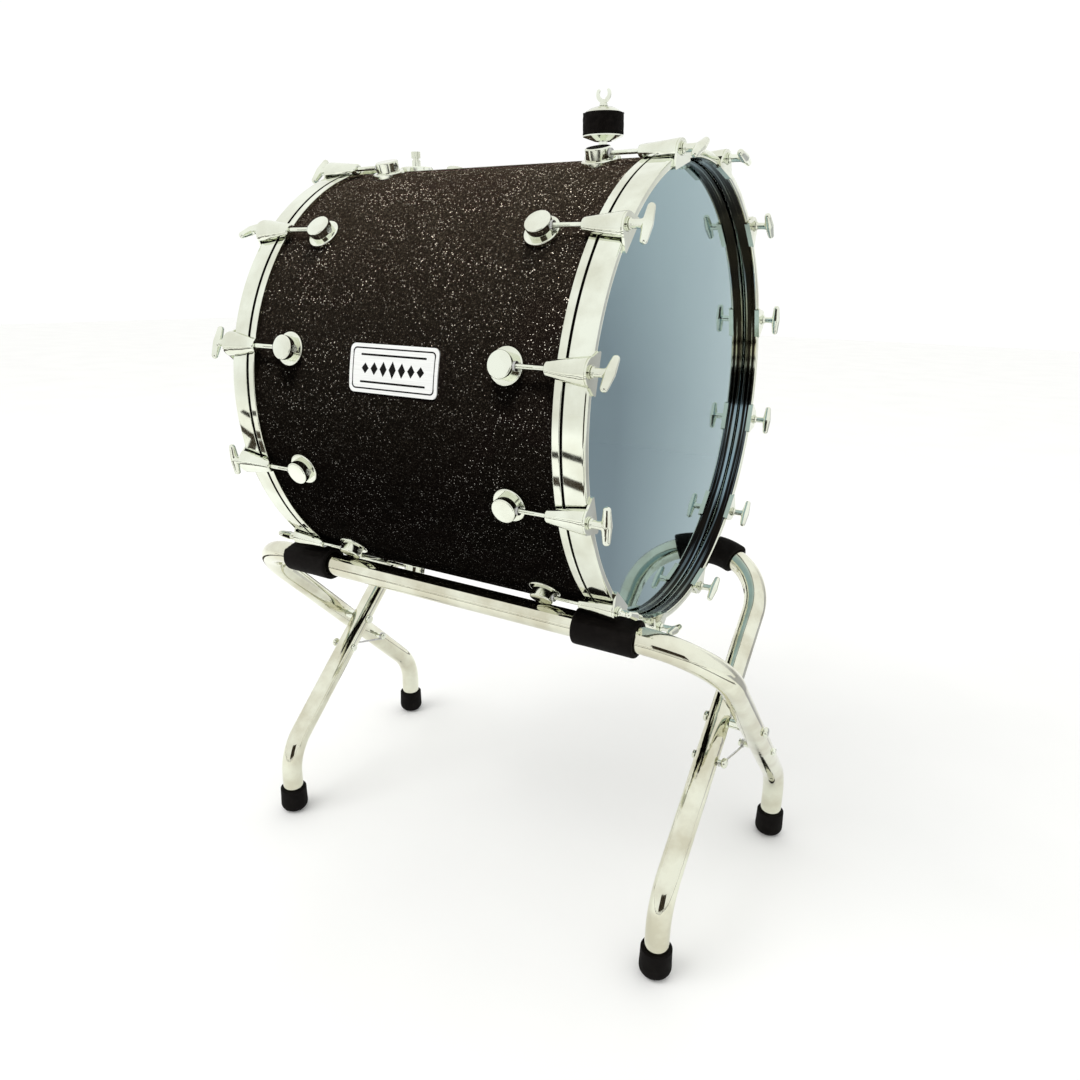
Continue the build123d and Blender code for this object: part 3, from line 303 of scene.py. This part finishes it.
def sparkle(name):
    """Black sheet full of fine glitter with brighter flakes scattered in it."""
    n = Nodes(name)
    fine = n.cells(1350)
    fine_grain = n.ramp(
        fine.outputs["Color"], (0.0, (0.0014, 0.0010, 0.0008)), (0.62, (0.0021, 0.0016, 0.0013)),
        (0.8, (0.006, 0.005, 0.004)), (1.0, (0.03, 0.026, 0.021)),
    )
    wide = n.cells(900)
    chance = n.add("ShaderNodeSeparateColor", {"Color": wide.outputs["Color"]})
    chosen = n.ramp(chance.outputs["Red"], (0.0, 0.0), (0.915, 1.0), interpolation="CONSTANT")
    core = n.ramp(wide.outputs["Distance"], (0.36, 1.0), (0.5, 0.0))
    patch = n.ramp(n.noise(24, 3), (0.40, 0.25), (0.60, 1.0))
    power = n.scaled(chance.outputs["Green"], -0.35, 1.0)
    bright = n.maths("MULTIPLY", n.maths("MULTIPLY", chosen, core), n.maths("MULTIPLY", patch, power))
    n.set(Base_Color=n.mix(bright, fine_grain, (0.36, 0.35, 0.32, 1)))
    n.set(Metallic=0.0, Roughness=n.scaled(n.noise(900, 2), 0.42, 0.6), Specular_IOR_Level=0.0)
    n.bump(fine.outputs["Distance"], 0.05 * MM, 0.6)
    return n.material


def film(name):
    """Glossy ebony head: a dark mirror with a faint print grain and finger marks."""
    n = Nodes(name)
    cloud = n.noise(7, 4)
    n.set(Metallic=1.0)
    n.set(Base_Color=n.ramp(cloud, (0.3, (0.30, 0.42, 0.452)), (0.72, (0.318, 0.444, 0.47))))
    n.set(Roughness=n.scaled(n.noise(40, 6, 0.65), 0.02, 0.06))
    n.bump(n.noise(9, 1), 0.10 * MM)
    return n.material


def rubber(name, colour, grain=650, depth=0.12, rough=(0.62, 0.85)):
    """Moulded black rubber with a fine matt grain and dusty high spots."""
    n = Nodes(name)
    dust = n.noise(90, 5)
    dusty = tuple(c * 1.6 + 0.001 for c in colour)
    n.set(Base_Color=n.ramp(dust, (0.45, colour), (0.8, dusty)))
    n.set(Roughness=n.scaled(n.noise(grain / 3, 3), *rough), Specular_IOR_Level=0.08)
    n.bump(n.noise(grain, 4, 0.6), depth * MM)
    return n.material


def felt_cloth(name):
    """Pressed wool: matted fibres with a fuzzy sheen."""
    n = Nodes(name)
    fibres = n.noise(1500, 6, 0.7, stretch=(1, 1, 0.45))
    matting = n.noise(160, 4)
    base = n.ramp(matting, (0.35, (0.0035, 0.0028, 0.0024)), (0.75, (0.009, 0.0075, 0.0065)))
    n.set(Base_Color=n.mix(n.ramp(fibres, (0.55, 0.0), (0.85, 0.5)), base, (0.03, 0.026, 0.023, 1)))
    n.set(Roughness=n.scaled(fibres, 0.85, 1.0), Specular_IOR_Level=0.05)
    n.set(Sheen_Weight=0.03, Sheen_Roughness=0.5)
    n.bump(fibres, 0.5 * MM)
    return n.material


def plated_steel(name, colour, rough=0.28):
    """Duller zinc or bright-dipped steel for screws, wire and inserts."""
    n = Nodes(name)
    stain = n.noise(140, 4)
    n.set(Metallic=1.0)
    n.set(Base_Color=n.ramp(stain, (0.3, tuple(c * 0.72 for c in colour)), (0.7, colour)))
    n.set(Roughness=n.scaled(n.noise(500, 3), rough - 0.1, rough + 0.12))
    n.bump(n.noise(700, 2), 0.02 * MM)
    return n.material


def ply(name):
    """Birch ply inside the shell: long grain round the drum."""
    n = Nodes(name)
    grain = n.noise(60, 6, 0.6, stretch=(0.3, 6, 6))
    n.set(Base_Color=n.ramp(grain, (0.3, (0.20, 0.12, 0.065)), (0.7, (0.42, 0.29, 0.17))))
    n.set(Roughness=n.scaled(grain, 0.4, 0.6))
    n.bump(grain, 0.1 * MM)
    return n.material


def badge_face(name):
    """Bright brushed plate."""
    n = Nodes(name)
    brushed = n.noise(300, 4, 0.6, stretch=(0.08, 4, 4))
    n.set(Metallic=0.35)
    n.set(Base_Color=n.ramp(brushed, (0.3, (0.74, 0.75, 0.73)), (0.7, (0.88, 0.89, 0.87))))
    n.set(Roughness=n.scaled(brushed, 0.28, 0.42))
    n.bump(brushed, 0.02 * MM)
    return n.material


CREAM = (0.83, 0.865, 0.755)
CREAM_SHADE = (0.69, 0.705, 0.59)
HARDWARE = chrome("chrome_hardware", CREAM, CREAM_SHADE)
HOOP_CHROME = chrome("chrome_hoop", CREAM, CREAM_SHADE, smudge=0.03, ripple=0.03)
TUBE_CHROME = chrome("chrome_tube", (0.79, 0.80, 0.67), (0.62, 0.60, 0.47), smudge=0.04, ripple=0.05)
INNER_PAINTED_REFLECTION = painted_reflection_chrome("inner_painted_reflection")
# Painted shadow: black rubber-like finish laid on the groove floor beside the flesh hoop, where there is
# only shade.
GROOVE_PAINTED_SHADOW = rubber("groove_painted_shadow", (0.003, 0.0026, 0.0022))
BLACK_ENAMEL = rubber("black_enamel", (0.004, 0.0034, 0.003), grain=300, depth=0.03, rough=(0.25, 0.4))
WRAP = sparkle("sparkle_wrap")
FILM = film("black_film")
SLEEVE_RUBBER = rubber("sleeve_rubber", (0.0042, 0.0033, 0.0028))
FOOT_RUBBER = rubber("foot_rubber", (0.0042, 0.0034, 0.003), grain=420, depth=0.16)
FELT = felt_cloth("black_felt")
ZINC = plated_steel("zinc_screw", (0.62, 0.62, 0.6))
INSERT = plated_steel("rod_insert", (0.55, 0.55, 0.54), 0.24)
WIRE = plated_steel("strut_wire", (0.66, 0.66, 0.65), 0.2)
SHELL_PLY = ply("shell_ply")
BADGE = badge_face("badge_metal")

# ---------------------------------------------------------------- drum: wrap, heads, hoops
INTO_DRUM = Matrix.Translation((0, 0, AXIS_HEIGHT)) @ ALONG_X
WRAP_THICK = 0.9 * MM
wrap_outline = rounded(
    [
        (WRAP_RADIUS - WRAP_THICK, -WRAP_HALF, 0),
        (WRAP_RADIUS, -WRAP_HALF, WRAP_THICK / 3),
        (WRAP_RADIUS, WRAP_HALF, WRAP_THICK / 3),
        (WRAP_RADIUS - WRAP_THICK, WRAP_HALF, 0),
    ]
)
wrap_shape = moved(lathe(wrap_outline, RING), INTO_DRUM)
wrap_sheet = piece("wrap_sheet", mesh_of("wrap_sheet", wrap_shape), WRAP, "drum", ["wrap"])

SHEET = 1.5 * MM
HOOP_NEAR = 222.7 * MM
HOOP_FOOT = HOOP_LOW.x
HOOP_LIP = 275.6 * MM
HOOP_WALL_END = 230 * MM
HOOP_WEB = 280.9 * MM
GROOVE_DEPTH = 0.8 * MM
GROOVE_WIDTH = 0.4 * MM
RIM_WIDTH = 6 * MM
RIM_DEPTH = 1.5 * MM
hoop_outline = rounded(
    [
        (HOOP_RADIUS, HOOP_NEAR, 0.5 * MM),
        (HOOP_RADIUS, HOOP_FACE, 3.4 * MM),
        (HOOP_LIP, HOOP_FACE, 2.2 * MM),
        (HOOP_LIP, HOOP_WALL_END, 0.5 * MM),
        (HOOP_LIP + SHEET, HOOP_WALL_END, 0.5 * MM),
        (HOOP_LIP + SHEET, HOOP_FACE - SHEET, 1.0 * MM),
        (HOOP_RADIUS - SHEET, HOOP_FACE - SHEET, 1.6 * MM),
        (HOOP_RADIUS - SHEET, HOOP_NEAR + SHEET, 0.5 * MM),
        (HOOP_WEB, HOOP_NEAR + SHEET, 0.5 * MM),
        (HOOP_WEB, HOOP_FOOT, 0.4 * MM),
        (HOOP_WEB + SHEET, HOOP_FOOT, 0.4 * MM),
        (HOOP_WEB + SHEET, HOOP_NEAR, 0.2 * MM),
    ]
)


def hoop_finish(centre):
    """0 for plate, 1 for painted shadow in the groove beside the flesh hoop, 2 for the wall with a painted
    reflection of the head.
    """
    depth = HOOP_RADIUS - hypot(centre.y, centre.z - AXIS_HEIGHT)
    # painted shadow in the groove beside the flesh hoop
    if depth > GROOVE_DEPTH and abs(centre.x) < HOOP_NEAR + GROOVE_WIDTH:
        return 1
    # painted reflection of the head on the inner wall of the hoop's mouth
    return 2 if depth > RIM_WIDTH and abs(centre.x) < HOOP_FACE - RIM_DEPTH else 0


for end, side in (("front", 1), ("rear", -1)):
    facing = Matrix.Translation((0, 0, AXIS_HEIGHT)) @ Matrix.Diagonal((side, 1, 1, 1)) @ ALONG_X
    hoop_mesh = mesh_of("hoop", moved(lathe(hoop_outline, RING), facing))
    # second material paints shadow in the groove, third paints the head's reflection on the inner wall
    others = [GROOVE_PAINTED_SHADOW, INNER_PAINTED_REFLECTION]
    piece(f"hoop_{end}_chrome", hoop_mesh, HOOP_CHROME, "drum", [f"hoop_{end}"], 40, others, hoop_finish)

# ---------------------------------------------------------------- tension rods with flared T handles
ROD = 2.6 * MM
ROD_TIP = 143 * MM
TIP_CHAMFER = 0.6 * MM
THREAD_TURN = 1.1 * MM
THREAD_DEPTH = 0.35 * MM
THREAD_LENGTH = 46 * MM
NECK = 4.4 * MM
NECK_START = 252.3 * MM
COLLAR = 5.8 * MM
COLLAR_LENGTH = 1.8 * MM
BAR_STATION = 270.4 * MM
BAR_HALF = 20.8 * MM
BAR_MIDDLE = 5.8 * MM
BAR_END = 4.1 * MM
FLARE_START = 260 * MM
FLARE_WIDTH = 9.5 * MM
FLARE_DEEPENING = 0.4 * MM
HANDLE_VOXEL = 0.6 * MM
FRONT_TWISTS = (0, -1, -13, 5, 9, 17, 6, 17, -15, -30, 17, 10)
REAR_TWISTS = (8, -16, 21, -6, 12, -11, 18, 17, -10, -10, -27, 29)


def bar_outline():
    """Half outline of the T bar, thickest in the middle, with round ends."""
    outline = [(0, -BAR_HALF)]
    for end in (-1, 1):
        arc = []
        for k in range(7):
            turn = radians(15 * k)
            arc.append((BAR_END * sin(turn), end * (BAR_HALF - BAR_END + BAR_END * cos(turn))))
        outline += arc[1:] if end < 0 else [(BAR_MIDDLE, 0)] + arc[:0:-1]
    return outline + [(0, BAR_HALF)]


def flare():
    """The neck spreading out along the bar, as rings of an ellipse. Local z runs along the rod."""
    verts, faces = [], []
    steps, around = 8, 24
    for k in range(steps + 1):
        share = k / steps
        wide = NECK + (FLARE_WIDTH - NECK) * share**3
        deep = NECK + FLARE_DEEPENING * share
        height = FLARE_START + (BAR_STATION - FLARE_START) * share
        for i in range(around):
            turn = 2 * pi * i / around
            verts.append(Vector((deep * cos(turn), wide * sin(turn), height)))
    for k in range(steps):
        for i in range(around):
            j = (i + 1) % around
            low, high = k * around, (k + 1) * around
            faces.append([low + i, low + j, high + j, high + i])
    faces.append(list(range(around)))
    faces.append([steps * around + i for i in range(around)])
    return verts, faces


def rod_shaft():
    """The threaded rod as far as the neck, in one outline with fine thread crests."""
    outline = [(0, ROD_TIP), (ROD - TIP_CHAMFER, ROD_TIP)]
    thread_end = ROD_TIP + THREAD_LENGTH
    turns = int((thread_end - ROD_TIP) / THREAD_TURN)
    for k in range(turns):
        height = ROD_TIP + (k + 0.5) * THREAD_TURN
        outline += [(ROD, height), (ROD - THREAD_DEPTH, height + THREAD_TURN / 2)]
    outline += [(ROD, thread_end), (ROD, NECK_START), (0, NECK_START)]
    return lathe(outline, 32, closed=False)


def neck():
    """The collar and neck under the T bar."""
    step = NECK_START + COLLAR_LENGTH
    outline = rounded(
        [
            (0, NECK_START, 0),
            (COLLAR, NECK_START, 0.4 * MM),
            (COLLAR, step, 0.4 * MM),
            (NECK, step, 0.3 * MM),
            (NECK, BAR_STATION, 0),
            (0, BAR_STATION, 0),
        ]
    )
    return lathe(outline, 48, closed=False)


across = Matrix.Translation((0, 0, BAR_STATION)) @ Matrix.Rotation(-pi / 2, 4, "X")
bar = moved(lathe(bar_outline(), 40, closed=False), across)
handle = melted("handle", mesh_of("handle", joined([neck(), bar, flare()])), HANDLE_VOXEL, 5)
handle_shape = ([v.co.copy() for v in handle.vertices], [list(f.vertices) for f in handle.polygons])
rod_master = mesh_of("rod", moved(joined([rod_shaft(), handle_shape]), ALONG_X))
for (side, number, clock), twist in zip(LUG_PLACES, FRONT_TWISTS + REAR_TWISTS):
    end = "front" if side > 0 else "rear"
    lifted = Matrix.Translation((0, 0, ROD_LINE)) @ Matrix.Rotation(radians(twist), 4, "X")
    rod_mesh = rod_master.copy()
    rod_mesh.transform(on_drum(clock, side) @ lifted)
    if side < 0:
        rod_mesh.flip_normals()
    node = f"{end}_{number:02d}"
    piece(f"t_rod_{node}", rod_mesh, HARDWARE, f"rod_body_{node}", [f"tension_rod_{node}"], 50)

# ---------------------------------------------------------------- rubber sleeves and felt


def soft_copy(node, voxel, rounds, grain, grain_size):
    """A soft part's skin: its CAD solid with softened corners and a grain of that depth and size."""
    return melted(node + "_skin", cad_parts[node].data.copy(), voxel, rounds, grain, grain_size)


for node, body in (("sleeves_outer", "stand_outer"), ("sleeves_inner", "stand_inner")):
    skin = soft_copy(node, 1.8 * MM, 2, 0.5 * MM, 28 * MM)
    piece(node + "_foam", skin, SLEEVE_RUBBER, body, [node], 60)
felt_skin = soft_copy("cymbal_felt", 0.9 * MM, 4, 1.1 * MM, 5 * MM)
felt = piece("cymbal_felt_wool", felt_skin, FELT, "drum", ["cymbal_felt"], 60)

# ---------------------------------------------------------------- badge ornament
BADGE_CLOCK = -81.2
BADGE_MIDDLE = 4.0 * MM
BADGE_FACE = WRAP_RADIUS + 1.35 * MM
ENAMEL_SUNK = 0.1 * MM
ENAMEL_PROUD = 0.12 * MM


def on_badge(outline):
    """A flat outline of (along the drum, up the badge) points, bent onto the badge as a thin plate."""
    count = len(outline)
    inner, outer = [], []
    for along, up in outline:
        turn = radians(BADGE_CLOCK) + up / BADGE_FACE
        for layer, radius in ((inner, BADGE_FACE - ENAMEL_SUNK), (outer, BADGE_FACE + ENAMEL_PROUD)):
            place = (BADGE_MIDDLE + along, radius * sin(turn), AXIS_HEIGHT + radius * cos(turn))
            layer.append(Vector(place))
    faces = [list(range(count)), [count + i for i in range(count)]]
    faces += [[i, (i + 1) % count, count + (i + 1) % count, count + i] for i in range(count)]
    return inner + outer, faces


def box_outline(half_length, half_height, corner):
    """A rectangle with rounded corners."""
    signs = ((-1, -1), (1, -1), (1, 1), (-1, 1))
    return rounded([(x * half_length, y * half_height, corner) for x, y in signs], 5)


def border(half_length, half_height, corner, line):
    """A thin raised border line."""
    outside = box_outline(half_length, half_height, corner)
    inside = box_outline(half_length - line, half_height - line, corner - line)
    count = len(outside)
    verts = on_badge(outside)[0] + on_badge(inside)[0]
    faces = []
    for i in range(count):
        j = (i + 1) % count
        faces.append([i, j, count + j, count + i])
        faces.append([2 * count + i, 3 * count + i, 3 * count + j, 2 * count + j])
        faces.append([i, 2 * count + i, 2 * count + j, j])
        faces.append([count + i, count + j, 3 * count + j, 3 * count + i])
    return verts, faces


BORDER = (58 * MM, 23 * MM, 5 * MM, 1.6 * MM)
BAR_OUTLINE = box_outline(46 * MM, 1.1 * MM, 1 * MM)
BAR_RISE = 15 * MM
LOZENGES = 7
LOZENGE_PITCH = 13 * MM
LOZENGE_HALF = 5 * MM
LOZENGE_TALL = 9.5 * MM
LOZENGE_STEP = 1.2 * MM
ornament = [border(*BORDER)]
for rise in (-BAR_RISE, BAR_RISE):
    ornament.append(on_badge([(along, up + rise) for along, up in BAR_OUTLINE]))
for k in range(-(LOZENGES // 2), LOZENGES // 2 + 1):
    middle = LOZENGE_PITCH * k
    tall = LOZENGE_TALL - LOZENGE_STEP * abs(k)
    ornament.append(
        on_badge([(middle - LOZENGE_HALF, 0), (middle, -tall), (middle + LOZENGE_HALF, 0), (middle, tall)])
    )
piece("badge_enamel", mesh_of("badge_enamel", joined(ornament)), BLACK_ENAMEL, "drum")

# ---------------------------------------------------------------- carried-over CAD nodes
for node in ("lug_bases", "lug_barrels", "claws", "rod_washers", "cymbal_base", "cymbal_stem"):
    finish_node(node, HARDWARE)
for node in ("cymbal_cup", "cymbal_top_washer", "cymbal_wing_nut", "accessory_post", "accessory_collar"):
    finish_node(node, HARDWARE)
for node in ("pivot_bolts", "pivot_spacers", "stand_cap_nuts", "strut_studs_outer", "strut_studs_inner"):
    finish_node(node, HARDWARE)
finish_node("flesh_hoops", HOOP_CHROME)
for node in ("outer_frame", "inner_frame"):
    finish_node(node, TUBE_CHROME)
for node in ("feet_outer", "feet_inner"):
    finish_node(node, FOOT_RUBBER)
for node in ("head_film_front", "head_film_rear"):
    finish_node(node, FILM)
for node in ("shell_screws", "shell_washers"):
    finish_node(node, ZINC)
for node in ("strut_right", "strut_left"):
    finish_node(node, WIRE)
finish_node("lug_inserts", INSERT)
finish_node("badge_plate", BADGE)
finish_node("shell", SHELL_PLY)

# ---------------------------------------------------------------- studio


def area_light(name, spot, target, width, height, power, colour=(1, 1, 1)):
    """A soft rectangular light."""
    data = bpy.data.lights.new(name, "AREA")
    data.shape = "RECTANGLE"
    data.size = width
    data.size_y = height
    data.energy = power
    data.color = colour
    obj = bpy.data.objects.new(name, data)
    obj.location = spot
    obj.rotation_euler = (Vector(target) - Vector(spot)).to_track_quat("-Z", "Y").to_euler()
    bpy.context.scene.collection.objects.link(obj)
    return obj


def flat_material(name, colour, rough=0.9):
    n = Nodes(name)
    shade = tuple(c * 0.97 for c in colour)
    n.set(Base_Color=n.ramp(n.noise(3, 2), (0.3, shade), (0.7, colour)), Roughness=rough)
    n.set(Specular_IOR_Level=0.1)
    return n.material


def card(name, corners, material):
    """A card seen only as a reflection: it casts no shade and the camera misses it."""
    mesh = bpy.data.meshes.new(name)
    mesh.from_pydata(corners, [], [(0, 1, 2, 3)])
    mesh.materials.append(material)
    obj = bpy.data.objects.new(name, mesh)
    obj.visible_camera = False
    obj.visible_diffuse = False
    obj.visible_shadow = False
    bpy.context.scene.collection.objects.link(obj)


def standing(start, end, height):
    """Corners of an upright card between two floor points."""
    (x0, y0), (x1, y1) = start, end
    return [(x0, y0, 0), (x1, y1, 0), (x1, y1, height), (x0, y0, height)]


def lying(start, end, height=0.004):
    """Corners of a strip just above the floor, between two opposite corners."""
    (x0, y0), (x1, y1) = start, end
    return [(x0, y0, height), (x1, y0, height), (x1, y1, height), (x0, y1, height)]


def fan_card(name, middle, light_at, dark_at, light, dark):
    """A matt card whose shade turns about a point of the set, from light to dark, and pales higher up."""
    n = Nodes(name)
    split = n.add("ShaderNodeSeparateXYZ", {"Vector": n.place})
    across = n.maths("SUBTRACT", split.outputs["X"], middle[0])
    away = n.maths("SUBTRACT", split.outputs["Y"], middle[1])
    links = {"Value": n.maths("DIVIDE", across, away), "From Min": light_at, "From Max": dark_at}
    turned = n.add("ShaderNodeMapRange", links).outputs["Result"]
    links = {"Value": split.outputs["Z"], "From Min": 0.3, "From Max": 1.5, "To Min": 1.2, "To Max": 0.5}
    paled = n.add("ShaderNodeMapRange", links).outputs["Result"]
    n.set(Base_Color=n.ramp(n.maths("MULTIPLY", turned, paled), (0.0, light), (1.0, dark)))
    n.set(Roughness=0.9, Specular_IOR_Level=0.0)
    return n.material


FLOOR_HALF = 14.0
floor_mesh = bpy.data.meshes.new("floor")
floor_corners = [(x * FLOOR_HALF, y * FLOOR_HALF, 0) for x, y in ((-1, -1), (1, -1), (1, 1), (-1, 1))]
floor_mesh.from_pydata(floor_corners, [], [(0, 1, 2, 3)])
floor_mesh.materials.append(flat_material("pale_floor", (0.965, 0.965, 0.955)))
floor = bpy.data.objects.new("floor", floor_mesh)
bpy.context.scene.collection.objects.link(floor)

world = bpy.data.worlds.new("studio")
bpy.context.scene.world = world
world.use_nodes = True
tree = world.node_tree
background = tree.nodes["Background"]
where = tree.nodes.new("ShaderNodeTexCoord")
split = tree.nodes.new("ShaderNodeSeparateXYZ")
tree.links.new(where.outputs["Generated"], split.inputs[0])
sky = tree.nodes.new("ShaderNodeValToRGB")
tree.links.new(split.outputs["Z"], sky.inputs["Fac"])
for element, colour in zip(sky.color_ramp.elements, ((0.97, 0.975, 0.97, 1), (1.0, 1.0, 0.985, 1))):
    element.color = colour
tree.links.new(sky.outputs["Color"], background.inputs["Color"])
background.inputs["Strength"].default_value = 1.05

key = area_light("key", (-1.6, -2.2, 3.4), (0, 0, 0.6), 2.4, 1.8, 45)
key.visible_glossy = False
glitter_only = bpy.data.collections.new("glitter_only")
glitter_only.objects.link(wrap_sheet)
top_glitter = area_light("top_glitter", (0.1, 0.12, 2.7), (0, 0, 0.7), 1.0, 0.6, 300, (1.0, 0.9, 0.76))
front_glitter = area_light("front_glitter", (0.2, -1.1, 2.9), (0, 0, 0.7), 0.8, 0.5, 250, (1.0, 0.95, 0.88))
for light in (top_glitter, front_glitter):
    light.light_linking.receiver_collection = glitter_only
DARK_CARD = flat_material("dark_card", (0.035, 0.026, 0.017))
BLACK_CARD = flat_material("black_card", (0.012, 0.01, 0.008))
card("card_hoop", standing((0.15, -2.6), (2.3, -2.6), 1.05), DARK_CARD)
card("card_back", standing((-2.2, 2.6), (-1.2, 3.0), 2.2), DARK_CARD)
card("strip_front", lying((-2.2, -1.25), (2.2, -1.08)), DARK_CARD)
card("strip_front_far", lying((-2.4, -2.0), (2.4, -1.75)), BLACK_CARD)
card("strip_right", lying((1.05, -1.6), (1.2, 0.2)), DARK_CARD)
card("strip_left", lying((-1.35, -1.6), (-1.15, 1.8)), DARK_CARD)
card("strip_back", lying((-1.6, 0.85), (0.1, 1.0)), DARK_CARD)
FAN_MIDDLE = (-0.14, -0.97)
head_fan = fan_card("head_fan", FAN_MIDDLE, 0.28, 0.50, (0.97, 0.97, 0.97), (0.46, 0.46, 0.49))
card("card_head_wall", standing((0.7, 3.0), (3.4, 3.0), 2.6), head_fan)
card("card_head_floor", lying((0.45, 0.45), (3.4, 2.99)), head_fan)

# ---------------------------------------------------------------- camera
CAMERA_AZIMUTH = radians(30.1776)
CAMERA_ELEVATION = radians(17.7003)
CAMERA_ROLL = radians(1.1850)
CAMERA_PLACE = (0.5988, -0.97088, AXIS_HEIGHT + 0.13827)
CAMERA_LENS = 26.945

back = Vector(
    (
        sin(CAMERA_AZIMUTH) * cos(CAMERA_ELEVATION),
        -cos(CAMERA_AZIMUTH) * cos(CAMERA_ELEVATION),
        sin(CAMERA_ELEVATION),
    )
)
level_right = Vector((cos(CAMERA_AZIMUTH), sin(CAMERA_AZIMUTH), 0))
level_up = back.cross(level_right)
right = level_right * cos(CAMERA_ROLL) + level_up * sin(CAMERA_ROLL)
up = back.cross(right)
camera_data = bpy.data.cameras.new("camera")
camera_data.sensor_width = 36
camera_data.lens = CAMERA_LENS
camera_data.clip_start = 0.01
camera = bpy.data.objects.new("camera", camera_data)
camera.matrix_world = Matrix.Translation(CAMERA_PLACE) @ Matrix((right, up, back)).transposed().to_4x4()
bpy.context.scene.collection.objects.link(camera)
bpy.context.scene.camera = camera
bpy.context.scene.view_settings.view_transform = "Standard"
